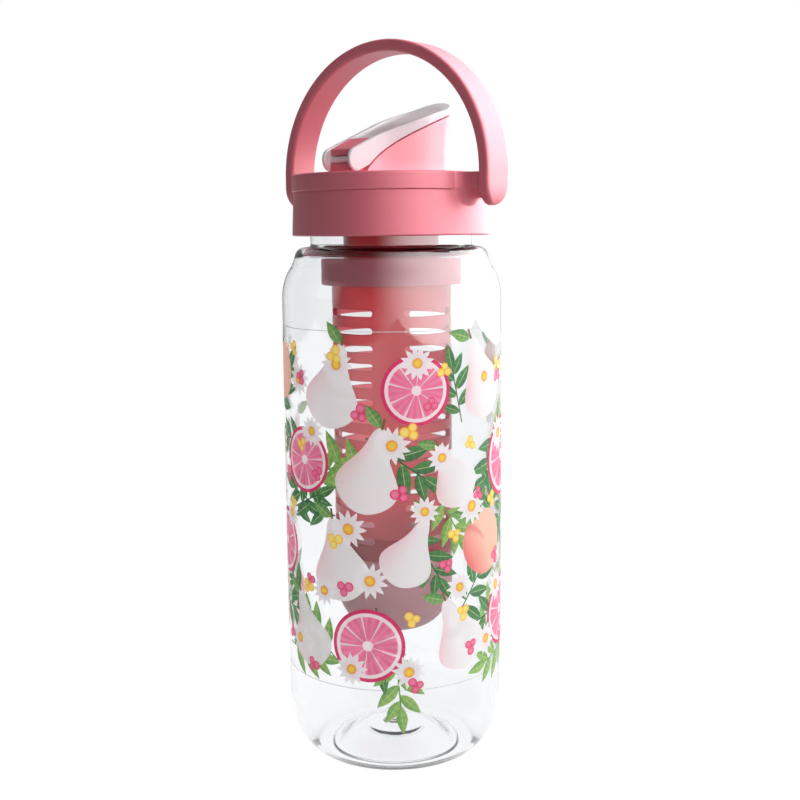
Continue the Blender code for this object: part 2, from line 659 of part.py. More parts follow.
def spout_body():
    """The drinking spout: a hollow wedge with a mouth under the cover, a hinge saddle and a stub below."""
    seam = shifted(seam_curve(), 0.0, -CLEARANCE / 2)
    spout = spout_shell()
    ahead = hinge_y - SPOUT_WIDTH
    behind = seam[-1][0] + SPOUT_WIDTH
    below = [(ahead, seam[0][1])] + seam + [(behind, seam[-1][1])]
    below += [(behind, deck_z - SPOUT_WIDTH), (ahead, deck_z - SPOUT_WIDTH)]
    combine(spout, side_plate("under_seam", below, 3 * SPOUT_TIP_WIDTH), "INTERSECT")

    front = hinge_y - SADDLE_WRAP
    reach = SADDLE_REACH - CLEARANCE
    saddle_line = hinge_z + SADDLE_TOP
    saddle = [(front, spout_foot_z), (hinge_y + reach, spout_foot_z)]
    far = saddle_line + SADDLE_SLOPE * (reach + SADDLE_WRAP)
    saddle += [(hinge_y + reach, far), (front, saddle_line)]
    tongue = side_plate("hinge_saddle", saddle, 2 * (arm_gap - CLEARANCE))
    swing = cross_pin("saddle_swing", reach, -SPOUT_WIDTH, SPOUT_WIDTH, hinge_y, hinge_z, steps=64)
    combine(tongue, swing, "INTERSECT")
    combine(spout, tongue, "UNION")

    stub = upright_pin("spout_stub", STUB_RADIUS, plate_z - LINER_BOSS, channel_z - CHANNEL_FLOOR / 2)
    combine(spout, stub, "UNION")

    bore = STUB_RADIUS - STUB_WALL
    stub_bore = upright_pin("stub_bore", bore, plate_z - 2 * LINER_BOSS, channel_z + CHANNEL_HEIGHT / 2)
    combine(spout, stub_bore, "DIFFERENCE")
    channel = plan_plate(
        "channel", slot_outline(-bore, mouth_back, mouth_half), channel_z, channel_z + CHANNEL_HEIGHT
    )
    combine(spout, channel, "DIFFERENCE")
    mouth_outline = slot_outline(mouth_back - MOUTH_LENGTH, mouth_back, mouth_half)
    mouth = plan_plate("mouth", mouth_outline, channel_z + CHANNEL_HEIGHT / 2, hinge_z + 2 * RIM_RISE)
    combine(spout, mouth, "DIFFERENCE")

    groove_radius = HINGE_BAR_RADIUS + CLEARANCE
    groove = cross_pin("bar_groove", groove_radius, -SPOUT_WIDTH, SPOUT_WIDTH, hinge_y, hinge_z)
    combine(spout, groove, "DIFFERENCE")
    return spout


def cover_dish(rim, back):
    """The cutter for the cover's finger dish: deepest behind the saddle and running out at the lip."""
    front = hinge_y + SADDLE_REACH
    floor = []
    for index in range(9):
        share = index / 8
        y = front - KNUCKLE_RADIUS + (back - front + KNUCKLE_RADIUS) * share
        sink = (share - DISH_DEEPEST) / (1 - DISH_DEEPEST)
        floor.append((y, height_on(rim, y) - DISH_DEPTH * (1 - sink ** 2)))
    above = hinge_z + 2 * RIM_RISE
    outline = floor + [(back, above), (floor[0][0], above)]
    dish = side_plate("cover_dish", outline, SPOUT_TIP_WIDTH)
    ends = plan_plate("dish_ends", wedge_plan(back, front - SADDLE_REACH, -DISH_RIM), deck_z, above + MM)
    return combine(dish, ends, "INTERSECT")


def flip_cover():
    """The white cover: two arms with round knuckles, a hinge bar between them, and a dished top plate."""
    seam = shifted(seam_curve(), 0.0, CLEARANCE / 2)
    rim = rim_curve()
    knuckle = ellipse_arc((hinge_y, hinge_z), KNUCKLE_RADIUS, KNUCKLE_RADIUS, 120, 305, 12)
    underside = [point for point in seam if point[0] > hinge_y + 1.5 * KNUCKLE_RADIUS]
    side = knuckle + underside + list(reversed(rim))
    cover = side_plate("flip_cover", side, SPOUT_TIP_WIDTH + COVER_OVERHANG, "white")

    lip_back = waist_back + SPOUT_LEAN * (hinge_z + SEAM_RISE - waist_z) + COVER_OVERHANG
    plan = wedge_plan(lip_back, hinge_y - 2 * KNUCKLE_RADIUS)
    combine(cover, plan_plate("cover_plan", plan, deck_z - SPOUT_WAIST, hinge_z + 2 * RIM_RISE), "INTERSECT")

    arms = cross_pin("arm_slot", SADDLE_REACH, -arm_gap, arm_gap, hinge_y, hinge_z, steps=64)
    combine(cover, arms, "DIFFERENCE")

    pocket_front = hinge_y + SADDLE_REACH - KNUCKLE_RADIUS
    pocket_back = mouth_back - MOUTH_LENGTH - 2 * SPOUT_SIDE_WALL
    roof = PLATE_THICKNESS + DISH_DEPTH
    pocket = [(pocket_front, deck_z), (pocket_back, deck_z)]
    pocket += [(pocket_back, height_on(rim, pocket_back) - roof)]
    pocket += [(pocket_front, height_on(rim, pocket_front) - roof)]
    combine(cover, side_plate("cover_pocket", pocket, 2 * arm_gap), "DIFFERENCE")

    combine(cover, cover_dish(rim, lip_back - DISH_END), "DIFFERENCE")

    bar = cross_pin("hinge_bar", HINGE_BAR_RADIUS, -arm_gap - MM, arm_gap + MM, hinge_y, hinge_z)
    combine(cover, bar, "UNION")
    return cover


def cover_seal_plug():
    """The silicone plug under the cover that closes the spout's mouth."""
    front = mouth_back - MOUTH_LENGTH + PLUG_GAP
    outline = slot_outline(front, mouth_back - PLUG_GAP, mouth_half - PLUG_GAP)
    plug = plan_plate("cover_seal_plug", outline, deck_z, hinge_z + 2 * RIM_RISE, "silicone")
    seam = seam_curve()
    band = shifted(seam, 0.0, -PLUG_DEPTH) + list(reversed(shifted(seam, 0.0, -CLEARANCE / 2)))
    combine(plug, side_plate("plug_band", band, 2 * SPOUT_TIP_WIDTH), "INTERSECT")
    return plug


# Infuser


def infuser_gasket():
    """The silicone washer that the spigot presses on in the infuser's socket."""
    profile = ring_profile(
        spigot_bore + CLEARANCE, socket_bore - CLEARANCE, infuser_gasket_z, infuser_gasket_z + INFUSER_GASKET
    )
    return turned("infuser_gasket", profile, "silicone")


def infuser_collar():
    """The opaque collar: an outer ring, a top plate, and an inner socket that screws on to the spigot."""
    edge = INFUSER_COLLAR_EDGE
    ledge_low = ledge_top_z - SOCKET_LEDGE
    slope = EDGE_SLOPE * edge
    profile = [(infuser_collar_radius - edge, collar_top_z)]
    profile += [(infuser_collar_radius - slope, collar_top_z - slope)]
    profile += [(infuser_collar_radius, collar_top_z - edge), (infuser_collar_radius, collar_bottom_z)]
    profile += [(basket_seat, collar_bottom_z), (basket_seat, collar_top_z - COLLAR_TOP_PLATE)]
    profile += [(socket_radius, collar_top_z - COLLAR_TOP_PLATE), (socket_radius, ledge_low)]
    profile += [(spigot_bore, ledge_low), (spigot_bore, ledge_top_z), (socket_bore, ledge_top_z)]
    profile += [(socket_bore, collar_top_z)]
    return turned("infuser_collar", profile, "pink")


def slot_loop(start, end, middle, radius):
    """A long hole with round ends in the flat pattern of the basket's wall."""
    right = ellipse_arc((end - radius, middle), radius, radius, -90, 90, SLOT_END_STEPS)
    left = ellipse_arc((start + radius, middle), radius, radius, 90, 270, SLOT_END_STEPS)
    return right + left


def infuser_basket():
    """The slotted basket: its wall is cut flat with every slot, scored at each facet and rolled up."""
    middle_radius = basket_radius - BASKET_WALL / 2
    length = 2 * math.pi * middle_radius
    step = length / SLOT_COLUMNS
    margin = STRIP_ANGLE / 2 * middle_radius
    loops = [[(0.0, 0.0), (length, 0.0), (length, BASKET_LENGTH), (0.0, BASKET_LENGTH)]]
    for column in range(SLOT_COLUMNS):
        start = column * step + margin
        for row in range(slot_rows):
            middle = BASKET_LENGTH - BASKET_PLAIN_TOP - SLOT_HEIGHT / 2 - row * SLOT_PITCH
            loops.append(slot_loop(start, start + step - 2 * margin, middle, SLOT_HEIGHT / 2))
    mesh = flat_outline("infuser_basket", loops, BASKET_WALL)

    pattern = bmesh.new()
    pattern.from_mesh(mesh)
    for index in range(1, BASKET_FACETS):
        score = length * index / BASKET_FACETS
        geometry = list(pattern.verts) + list(pattern.edges) + list(pattern.faces)
        bmesh.ops.bisect_plane(pattern, geom=geometry, plane_co=(score, 0.0, 0.0), plane_no=(1.0, 0.0, 0.0))
    near = 0.00001
    ends = [face for face in pattern.faces if all(v.co.x < near for v in face.verts)]
    ends += [face for face in pattern.faces if all(v.co.x > length - near for v in face.verts)]
    bmesh.ops.delete(pattern, geom=ends, context="FACES")
    for vertex in pattern.verts:
        angle = STRIP_START + vertex.co.x / middle_radius
        radius = middle_radius + vertex.co.z
        height = basket_bottom_z + vertex.co.y
        vertex.co = (radius * math.cos(angle), radius * math.sin(angle), height)
    bmesh.ops.remove_doubles(pattern, verts=pattern.verts, dist=0.000005)
    bmesh.ops.recalc_face_normals(pattern, faces=pattern.faces)
    pattern.to_mesh(mesh)
    pattern.free()
    return place(mesh, "infuser_basket", "salmon")


def infuser_cup():
    """The frosted cup under the basket: a neck inside it, a straight wall and a round bottom."""
    neck_radius = basket_bore - CLEARANCE
    neck_inner = neck_radius - CUP_WALL
    neck_top = cup_rim_z + CUP_NECK_HEIGHT
    outer = [(neck_radius, neck_top), (neck_radius, cup_rim_z), (basket_radius, cup_rim_z)]
    round_width = basket_radius - CUP_FLOOR_RADIUS
    outer += ellipse_arc((CUP_FLOOR_RADIUS, cup_round_z), round_width, CUP_ROUND_HEIGHT, 0, -90, 6)
    outer.append((0.0, cup_bottom_z))
    inner = [(0.0, cup_bottom_z + CUP_WALL)]
    inner_round = (round_width - CUP_WALL, CUP_ROUND_HEIGHT - CUP_WALL)
    inner += ellipse_arc((CUP_FLOOR_RADIUS, cup_round_z), *inner_round, -90, 0, 5)
    inner += [(basket_radius - CUP_WALL, cup_rim_z - CUP_WALL), (neck_inner, cup_rim_z)]
    inner.append((neck_inner, neck_top))
    return turned("infuser_cup", inner + outer, "frosted", closed=False)


def assemble():
    """Make every piece, and hang the moving ones on empties that sit on their joints' axes."""
    bottle_body()
    lid_cap()
    lid_collar()
    lid_liner()
    lid_gasket()
    spout_o_ring()
    handle = carry_handle()
    spout_body()
    cover = flip_cover()
    plug = cover_seal_plug()
    infuser_gasket()
    infuser_collar()
    infuser_basket()
    infuser_cup()
    pivots = (
        ("handle_axis", (0.0, 0.0, pivot_z), (handle,)),
        ("cover_axis", (0.0, hinge_y, hinge_z), (cover, plug)),
    )
    for name, spot, carried in pivots:
        axis = bpy.data.objects.new(name, None)
        axis.location = spot
        PARTS.objects.link(axis)
        for item in carried:
            item.parent = axis
            item.matrix_parent_inverse = Matrix.Translation(-Vector(spot))


assemble()
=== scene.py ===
# %% [markdown]
# # An infuser water bottle
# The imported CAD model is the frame: it gives every piece its place, its size and its joint. This script
# gives each piece the surface that a mould leaves: soft edges, screw threads, satin and clear plastic,
# and a print.

import json
import math

import bmesh
import bpy
import numpy as np
from mathutils import Matrix, Vector


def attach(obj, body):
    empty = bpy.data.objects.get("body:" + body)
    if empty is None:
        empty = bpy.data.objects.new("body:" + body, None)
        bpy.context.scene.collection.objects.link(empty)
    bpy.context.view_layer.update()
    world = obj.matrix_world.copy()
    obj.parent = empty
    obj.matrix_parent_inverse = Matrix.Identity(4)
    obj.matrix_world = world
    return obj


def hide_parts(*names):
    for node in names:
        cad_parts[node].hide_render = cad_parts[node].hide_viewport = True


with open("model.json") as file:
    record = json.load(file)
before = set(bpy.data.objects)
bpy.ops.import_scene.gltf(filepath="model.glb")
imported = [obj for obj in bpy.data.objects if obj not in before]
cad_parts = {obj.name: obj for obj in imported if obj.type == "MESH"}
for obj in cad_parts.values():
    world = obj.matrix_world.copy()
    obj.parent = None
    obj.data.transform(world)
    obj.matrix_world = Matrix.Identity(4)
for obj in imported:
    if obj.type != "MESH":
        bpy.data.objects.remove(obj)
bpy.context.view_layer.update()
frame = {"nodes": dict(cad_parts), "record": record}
MM = 0.001

# %% [markdown]
# ## The camera
# A photograph fixes a camera once its lens, place and tilt are known. Here they were fitted to the
# bottle's outline: the lens is a little longer than normal, it stands 413 mm from the axis at the height
# of the neck, and it looks down by 8.2 degrees. The bottle stands in the model's frame with its spout
# along +Y, so the whole view is turned by 40 degrees about the bottle's axis.

# %% Camera
VIEW_AZIMUTH = math.radians(40.0)
CAMERA_DISTANCE = 413.0 * MM
CAMERA_HEIGHT = 183.5 * MM
PITCH_DOWN = math.radians(8.2)
YAW = math.radians(0.355)
ROLL = math.radians(-0.5)
LENS = 53.91


def linked(name, data):
    """Put new data in the scene as an object."""
    item = bpy.data.objects.new(name, data)
    bpy.context.scene.collection.objects.link(item)
    return item


def add_camera():
    """Place the camera: it looks along (sin yaw cos pitch, cos yaw cos pitch, -sin pitch), turned by the
    azimuth."""
    flat = math.cos(PITCH_DOWN)
    forward = Vector((math.sin(YAW) * flat, math.cos(YAW) * flat, -math.sin(PITCH_DOWN)))
    level = Vector((math.cos(YAW), -math.sin(YAW), 0.0))
    above = level.cross(forward)
    right = math.cos(ROLL) * level + math.sin(ROLL) * above
    up = math.cos(ROLL) * above - math.sin(ROLL) * level
    turn = Matrix((right, up, -forward)).transposed().to_4x4()
    camera = linked("photo_camera", bpy.data.cameras.new("photo_camera"))
    camera.data.lens = LENS
    camera.data.clip_start = 10 * MM
    place = Matrix.Translation((0.0, -CAMERA_DISTANCE, CAMERA_HEIGHT)) @ turn
    camera.matrix_world = Matrix.Rotation(VIEW_AZIMUTH, 4, "Z") @ place
    bpy.context.scene.camera = camera
    return camera


camera = add_camera()
print("camera at", [round(value, 4) for value in camera.matrix_world.translation])

# %% [markdown]
# ## Writing materials as formulas
# A procedural material is a formula over the surface. Adding Math nodes by hand hides that formula, so a
# small class wraps a socket and gives it the usual operators. Every other node comes from one method, in
# the materials and in the world alike.

# %% Shader helpers


class Value:
    """A shader socket that can be used in sums; each operator adds one Math node."""

    def __init__(self, nodes, socket):
        self.nodes = nodes
        self.socket = socket

    def math(self, operation, first, second):
        return self.nodes.node("Math", {0: first, 1: second}, operation=operation)

    def __add__(self, other):
        return self.math("ADD", self, other)

    __radd__ = __add__

    def __sub__(self, other):
        return self.math("SUBTRACT", self, other)

    def __rsub__(self, other):
        return self.math("SUBTRACT", other, self)

    def __mul__(self, other):
        return self.math("MULTIPLY", self, other)

    __rmul__ = __mul__

    def clip(self):
        return self.nodes.node("Clamp", {0: self})


class Nodes:
    """A node tree, and the method that adds any node to it."""

    def __init__(self, tree):
        self.tree = tree

    def node(self, kind, feeds=None, output=0, **settings):
        """Add any node: its settings first, then the values or links of its sockets."""
        node = self.tree.nodes.new("ShaderNode" + kind)
        for key, value in settings.items():
            setattr(node, key, value)
        for key, value in (feeds or {}).items():
            self.feed(node.inputs[key], value)
        return Value(self, node.outputs[output])

    def feed(self, socket, value):
        """Link a socket, or write a plain value on it."""
        if isinstance(value, Value):
            self.tree.links.new(value.socket, socket)
        elif socket.type == "RGBA" and len(value) == 3:
            socket.default_value = (*value, 1.0)
        else:
            socket.default_value = value

    def rays(self, *kinds):
        """For each kind of ray, a value that is 1 on such rays and 0 on all others."""
        return [self.node("LightPath", output=f"Is {kind} Ray") for kind in kinds]


class Finish(Nodes):
    """One material: its Principled shader and the nodes that feed it."""

    def __init__(self, name):
        self.material = bpy.data.materials.new(name)
        self.material.use_nodes = True
        super().__init__(self.material.node_tree)
        self.shader = self.tree.nodes["Principled BSDF"]
        self.shown = Value(self, self.shader.outputs[0])

    def set(self, **feeds):
        """Feed the shader's sockets; an underscore stands for a space in a socket's name."""
        for key, value in feeds.items():
            self.feed(self.shader.inputs[key.replace("_", " ")], value)

    def place(self):
        """The point on the piece, in metres."""
        return self.node("TexCoord", output="Object")

    def noise(self, size, detail=2.0):
        """Cloudy noise from 0 to 1 whose patches are about size metres across."""
        return self.node("TexNoise", {"Vector": self.place(), "Scale": 1.0 / size, "Detail": detail})

    def mix(self, factor, first, second):
        """Blend two colours: first at factor 0, second at 1."""
        return self.node("Mix", {0: factor, 6: first, 7: second}, 2, data_type="RGBA")

    def bump(self, height, depth, strength):
        """Turn a height from 0 to 1 into a relief of that depth in metres."""
        return self.node("Bump", {"Height": height, "Distance": depth, "Strength": strength})

    def show(self, factor, first, second):
        """Blend two shaders, first at factor 0 and second at 1, as the material's surface."""
        mixed = self.node("MixShader", {0: factor.clip(), 1: first, 2: second})
        self.feed(self.tree.nodes["Material Output"].inputs[0], mixed)

    def pass_lamps(self, tint):
        """Let lamp and diffuse rays go straight through, as thin clear plastic does; the eye still sees
        the shader."""
        shadow, diffuse = self.rays("Shadow", "Diffuse")
        self.show(shadow + diffuse, self.shown, self.node("BsdfTransparent", {0: tint}))
        return self


print("shader helpers are ready")

# %% [markdown]
# ## Plastics
# The bottle has six plastics. The clear copolyester is glossy and bends light a little more than acrylic.
# The pink and white parts come from a spark-eroded mould, which leaves a satin skin: fine grain in the
# bump and slow clouds in the roughness. The salmon parts let some light in, and silicone is milky.

# %% Clear copolyester
CLEAR_IOR = 1.52


def clear_plastic():
    """Clear wall: full transmission, faint smudges in the roughness, and the slow waves of a blown
    wall."""
    finish = Finish("clear_copolyester")
    smudges = finish.noise(22 * MM, 3.0)
    waves = finish.noise(38 * MM, 1.0)
    finish.set(
        Base_Color=(0.95, 0.96, 0.97), Transmission_Weight=1.0, IOR=CLEAR_IOR,
        Roughness=0.015 + 0.03 * smudges, Normal=finish.bump(waves, 0.35 * MM, 0.35),
    )
    return finish.pass_lamps((0.97, 0.97, 0.975)).material


# %% Satin plastics


def satin_plastic(name, colour, shade, gloss, bloom):
    """Moulded satin plastic: colour drifts slowly towards shade, and the skin has a fine eroded grain.
    The grain scatters a white bloom over the lit side, as a rough coat."""
    finish = Finish(name)
    drift = finish.noise(14 * MM, 3.0)
    grain = finish.noise(0.28 * MM, 2.0)
    sheen = finish.noise(5 * MM, 2.0)
    finish.set(
        Base_Color=finish.mix(0.5 * drift + 0.12 * grain, colour, shade),
        Roughness=gloss - 0.06 + 0.09 * sheen + 0.05 * grain,
        Normal=finish.bump(grain, 0.035 * MM, 0.5),
        Specular_IOR_Level=0.5, IOR=1.49, Coat_Weight=bloom, Coat_Roughness=0.6, Coat_IOR=1.7,
    )
    return finish.material


# %% Translucent plastics and silicone


def translucent(name, colour, shade, transmission, roughness):
    """Tinted moulded plastic: part of the light goes through, and flow clouds change its depth of
    colour."""
    finish = Finish(name)
    flow = finish.noise(9 * MM, 3.0)
    grain = finish.noise(0.5 * MM, 2.0)
    finish.set(
        Base_Color=finish.mix(flow, colour, shade), Transmission_Weight=transmission, IOR=1.5,
        Roughness=roughness + 0.08 * flow, Normal=finish.bump(grain, 0.03 * MM, 0.4),
    )
    return finish


def silicone_rubber():
    """Milky silicone: soft, a little dusty, with light spreading inside it."""
    finish = Finish("milky_silicone")
    dust = finish.noise(2.5 * MM, 4.0)
    finish.set(
        Base_Color=finish.mix(dust, (0.86, 0.85, 0.82), (0.78, 0.77, 0.74)), Roughness=0.45 + 0.15 * dust,
        Subsurface_Weight=0.25, Subsurface_Scale=2 * MM, Normal=finish.bump(dust, 0.05 * MM, 0.3),
    )
    return finish.material


finishes = {
    "clear_body": clear_plastic(),
    "pink_plastic": satin_plastic("satin_pink", (0.75, 0.155, 0.21), (0.69, 0.12, 0.175), 0.50, 0.85),
    "white_plastic": satin_plastic("satin_white", (0.90, 0.89, 0.91), (0.85, 0.84, 0.87), 0.44, 0.0),
    "clear_salmon": translucent(
        "translucent_salmon", (1.0, 0.05, 0.09), (0.98, 0.03, 0.07), 0.80, 0.30
    ).pass_lamps((0.98, 0.60, 0.62)).material,
    "frosted_salmon": translucent(
        "frosted_salmon", (1.0, 0.62, 0.66), (0.98, 0.55, 0.60), 0.50, 0.45
    ).pass_lamps((0.97, 0.78, 0.80)).material,
    "silicone": silicone_rubber(),
}
print("finishes:", sorted(finishes))

# %% [markdown]
# ## Surfaces from numbers
# Most pieces are turned: a profile in (radius, height) goes once round the axis. A real mould has no
# sharp edge, so each corner of a profile is cut back and replaced by a short curve. A grid of points then
# becomes one mesh, whose rows run down the outside and whose columns run counter-clockwise, so that its
# faces look out.

# %% Helpers for surfaces
SLOT_OF = {entry["node"]: entry["material_slot"] for entry in frame["record"]["subparts"]}
BODY_OF = {node: body for body, nodes in frame["record"]["behaviour"]["bodies"].items() for node in nodes}
TURN_COLUMNS = 192
SHARP_FROM = math.radians(40)


def bowed(start, corner, end, t):
    """The curve (1 - t)^2 start + 2 t (1 - t) corner + t^2 end, which the corner pulls out of line."""
    return (1 - t) ** 2 * start + 2 * t * (1 - t) * corner + t ** 2 * end


def softened(corners, closed=True, steps=6):
    """Round a profile of rows (radius, height, cut) in mm: each corner becomes a bowed curve, whose ends
    lie cut away from the corner along its two sides."""
    rows = np.array(corners, float)
    point, cut = rows[:, :2], rows[:, 2:]
    before = np.roll(point, 1, axis=0) - point
    after = np.roll(point, -1, axis=0) - point
    start = point + before / np.linalg.norm(before, axis=1, keepdims=True) * cut
    end = point + after / np.linalg.norm(after, axis=1, keepdims=True) * cut
    t = np.linspace(0.0, 1.0, steps)[None, :, None]
    line = bowed(start[:, None], point[:, None], end[:, None], t).reshape(-1, 2)
    if closed:
        line = np.vstack([line, line[:1]])
    step = np.linalg.norm(np.diff(line, axis=0), axis=1)
    return line[np.append(True, step > 1e-4)]


def arc(centre, width, height, start, end, count):
    """Points on an ellipse, centre + (width cos a, height sin a), with a from start to end in degrees."""
    angle = np.radians(np.linspace(start, end, count))
    return np.stack([centre[0] + width * np.cos(angle), centre[1] + height * np.sin(angle)], axis=1)


def around(radius, angle, height):
    """The points (r cos a, r sin a, z)."""
    return np.stack([radius * np.cos(angle), radius * np.sin(angle), height], axis=-1)


def grid_faces(shape, close_columns):
    """The corners of every face of one grid, or of a row of equal grids, (..., rows, columns)."""
    index = np.arange(math.prod(shape)).reshape(-1, *shape[-2:])
    if close_columns:
        index = np.concatenate([index, index[..., :1]], axis=-1)
    corners = [index[:, :-1, :-1], index[:, 1:, :-1], index[:, 1:, 1:], index[:, :-1, 1:]]
    return np.stack(corners, axis=-1).reshape(-1, 4)


def grid_mesh(name, points, close_columns=True):
    """Make a mesh from one grid of points in mm, or a row of equal grids, (..., rows, columns, 3), and
    merge each grid's seam and poles."""
    mesh = bpy.data.meshes.new(name)
    mesh.from_pydata(points.reshape(-1, 3) * MM, [], grid_faces(points.shape[:-1], close_columns))
    return merged(mesh)


def edited(mesh, change, *others):
    """Open a mesh together with others, let change() work on it, and write it back."""
    shape = bmesh.new()
    for source in (mesh, *others):
        shape.from_mesh(source)
    change(shape)
    shape.to_mesh(mesh)
    shape.free()
    return mesh


def merged(mesh, *others):
    """Add other meshes to a mesh, and merge all points that lie in one place."""
    return edited(mesh, lambda shape: bmesh.ops.remove_doubles(shape, verts=shape.verts, dist=2e-6), *others)


def facing_out(mesh):
    """Turn all faces of a closed mesh outwards."""
    return edited(mesh, lambda shape: bmesh.ops.recalc_face_normals(shape, faces=shape.faces))


def turned(name, profile, relief=None, columns=TURN_COLUMNS, start=0.0):
    """Turn a profile about Z, with relief(a, r, z) added to the radius r at the angle a and the height z."""
    angle = start + np.linspace(0.0, 2 * math.pi, columns, endpoint=False)[None, :]
    radius = np.repeat(profile[:, :1], columns, axis=1)
    height = np.repeat(profile[:, 1:], columns, axis=1)
    if relief is not None:
        radius = radius + relief(angle, radius, height)
    return grid_mesh(name, around(radius, angle, height))


def finished(mesh, node=None, body=None, slot=None, look=None, even=True):
    """Put a mesh in the scene as a piece: its finish, its body, and the CAD node that it stands for."""
    body = body or BODY_OF[node]
    slot = slot or SLOT_OF[node]
    piece = linked(mesh.name, mesh)
    mesh.shade_smooth()
    mesh.set_sharp_from_angle(angle=SHARP_FROM)
    mesh.materials.clear()
    mesh.materials.append(look or finishes[slot])
    if even:
        weighted = piece.modifiers.new("even_normals", "WEIGHTED_NORMAL")
        weighted.keep_sharp = True
    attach(piece, body)
    if node is not None:
        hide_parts(node)
    print(mesh.name, "has", sum(len(face.vertices) - 2 for face in mesh.polygons), "triangles")


# %% [markdown]
# ## Screw threads
# A thread is a ridge that climbs by one lead for each turn. At angle a its turns are at the heights low +
# lead (a / 360 + k) for k = 0, 1, 2 and so on. The ridge's height falls off with the distance to the
# nearest of them, and fades in and out over its first and last quarter turn.

# %% Thread relief
ON_WALL = 0.01


def thread(lead, low, high, rise, width, base, phase=0.0):
    """A relief for turned(): rise (1 - (2 d / width)^2) on the wall of radius base, where d is the height
    above the nearest turn; it is 0 off that wall and fades at both ends."""

    def relief(angle, radius, height):
        along = (height - low) / lead - angle / (2 * math.pi) - phase
        turn = np.round(along)
        centre = low + lead * (angle / (2 * math.pi) + phase + turn)
        away = (height - centre) / (width / 2)
        ridge = np.clip(1 - away ** 2, 0, None)
        fade = np.clip((centre - low) / (lead / 4), 0, 1) * np.clip((high - centre) / (lead / 4), 0, 1)
        return rise * ridge * fade * (np.abs(radius - base) < ON_WALL)

    return relief


NECK_RADIUS = 27.5
NECK_BORE = 25.4
NECK_TOP = 194.52
THREAD_LEAD = 4.0
print("the lid rises", THREAD_LEAD, "mm in each turn")

# %% [markdown]
# ## The bottle
# It is blown from clear plastic in one piece, with a wall of 1.6 mm. From the lip down it has a threaded
# neck, a small shelf, a round shoulder, a straight side, a round heel and a foot ring. The middle of the
# base is pushed up in a smooth dome, with the small mark where the plastic was injected.

# %% Bottle profile
BODY_RADIUS = 37.5
SHOULDER_Z = 159.7
HEEL_Z = 20.6
FOOT_RADIUS = 24.0
FLOOR_RADIUS = 27.5
NECK_FOOT = 177.3
SHOULDER_SWEEP = 49
SIDE_WALL = 1.6
FLOOR_WALL = 2.1
DOME_RISE = 5.4
DOME_EDGE = 22.0
DOME_FLAT = 10.0
THREAD_STEP = 0.2


def down(radius, high, low):
    """Points straight down a wall, close enough together to carry a thread."""
    count = int(abs(high - low) / THREAD_STEP) + 2
    return np.stack([np.full(count, radius), np.linspace(high, low, count)], axis=1)


def bottle_outside():
    """The outer line from the lip down to the foot ring."""
    lip = arc((NECK_RADIUS - 0.6, NECK_TOP - 0.6), 0.6, 0.6, 90, 0, 6)
    neck = down(NECK_RADIUS, NECK_TOP - 0.7, NECK_FOOT + 1.0)
    shelf = softened([
        (NECK_RADIUS, NECK_FOOT + 0.9, 0.0), (NECK_RADIUS, NECK_FOOT, 0.8), (32.2, 176.7, 2.4),
        (33.6, 171.9, 1.4), (34.4, 170.4, 0.0),
    ], closed=False, steps=10)
    shoulder = arc((28.5, SHOULDER_Z), 9.0, 14.1, SHOULDER_SWEEP - 1, 0, 26)
    heel = arc((FOOT_RADIUS, HEEL_Z), 13.5, HEEL_Z, 0, -90, 40)
    return np.vstack([lip, neck, shelf, shoulder, heel])


def bottle_underside():
    """From the foot ring to the middle: a smooth dome, its rise times s^2 (3 - 2 s), and the moulding
    mark."""
    share = np.linspace(0.0, 1.0, 12)[1:]
    ramp = np.stack([
        DOME_EDGE - (DOME_EDGE - DOME_FLAT) * share, DOME_RISE * share ** 2 * (3 - 2 * share),
    ], axis=1)
    middle = softened([
        (DOME_FLAT, DOME_RISE, 0.0), (3.9, DOME_RISE, 0.8), (3.0, 6.6, 0.6), (0.0, 6.7, 0.0),
    ], closed=False)
    return np.vstack([arc((22.4, 0.45), 0.45, 0.45, -90, -180, 4), ramp, middle[1:]])


def bottle_inside(underside):
    """The inner line from the middle of the floor up to the lip, one wall inside the outer line."""
    floor = underside[::-1] + np.array([0.0, FLOOR_WALL])
    heel = arc((FLOOR_RADIUS, HEEL_Z), BODY_RADIUS - SIDE_WALL - FLOOR_RADIUS, HEEL_Z - 2.2, -90, 0, 30)
    shoulder = arc((28.5, SHOULDER_Z), 7.4, 12.5, 0, SHOULDER_SWEEP - 1, 20)
    shelf = softened([
        (33.3, 169.2, 0.0), (32.2, 171.4, 1.2), (31.0, 175.2, 2.2), (NECK_BORE, 175.7, 1.6),
        (NECK_BORE, 178.0, 0.0),
    ], closed=False, steps=10)
    lip = arc((NECK_BORE + 0.6, NECK_TOP - 0.6), 0.6, 0.6, 180, 90, 6)
    return np.vstack([floor, heel, shoulder, shelf, lip])


def bottle_profile():
    """The whole closed line: inside from the floor up, over the lip, down the outside and back under."""
    underside = bottle_underside()
    return np.vstack([bottle_inside(underside), bottle_outside()[1:], underside])


neck_thread = thread(THREAD_LEAD, 183.2, 192.8, 1.1, 2.0, NECK_RADIUS)
finished(turned("bottle_wall", bottle_profile(), neck_thread, columns=256), "bottle_body")

# %% [markdown]
# ## The print
# The straight side carries a screen print of fruit, leaves and daisies, in the colours that the
# photograph has. Ink is a thin film, so each motif is a flat grid of a few dozen faces, bent round the
# side a few hundredths of a millimetre above it. A colour at every point of the grid paints it, and the
# material only reads that colour.

# %% Ink helpers
PRINT_MIDDLE = VIEW_AZIMUTH - math.radians(90.0)
PRINT_LOW = 33.0
PRINT_HIGH = 151.0
FILM_HALF = 68.0
HAIRLINE_HALF = 0.12


def srgb(red, green, blue):
    """A screen colour, 0 to 255, as linear light."""
    return (np.array([red, green, blue]) / 255.0) ** 2.2


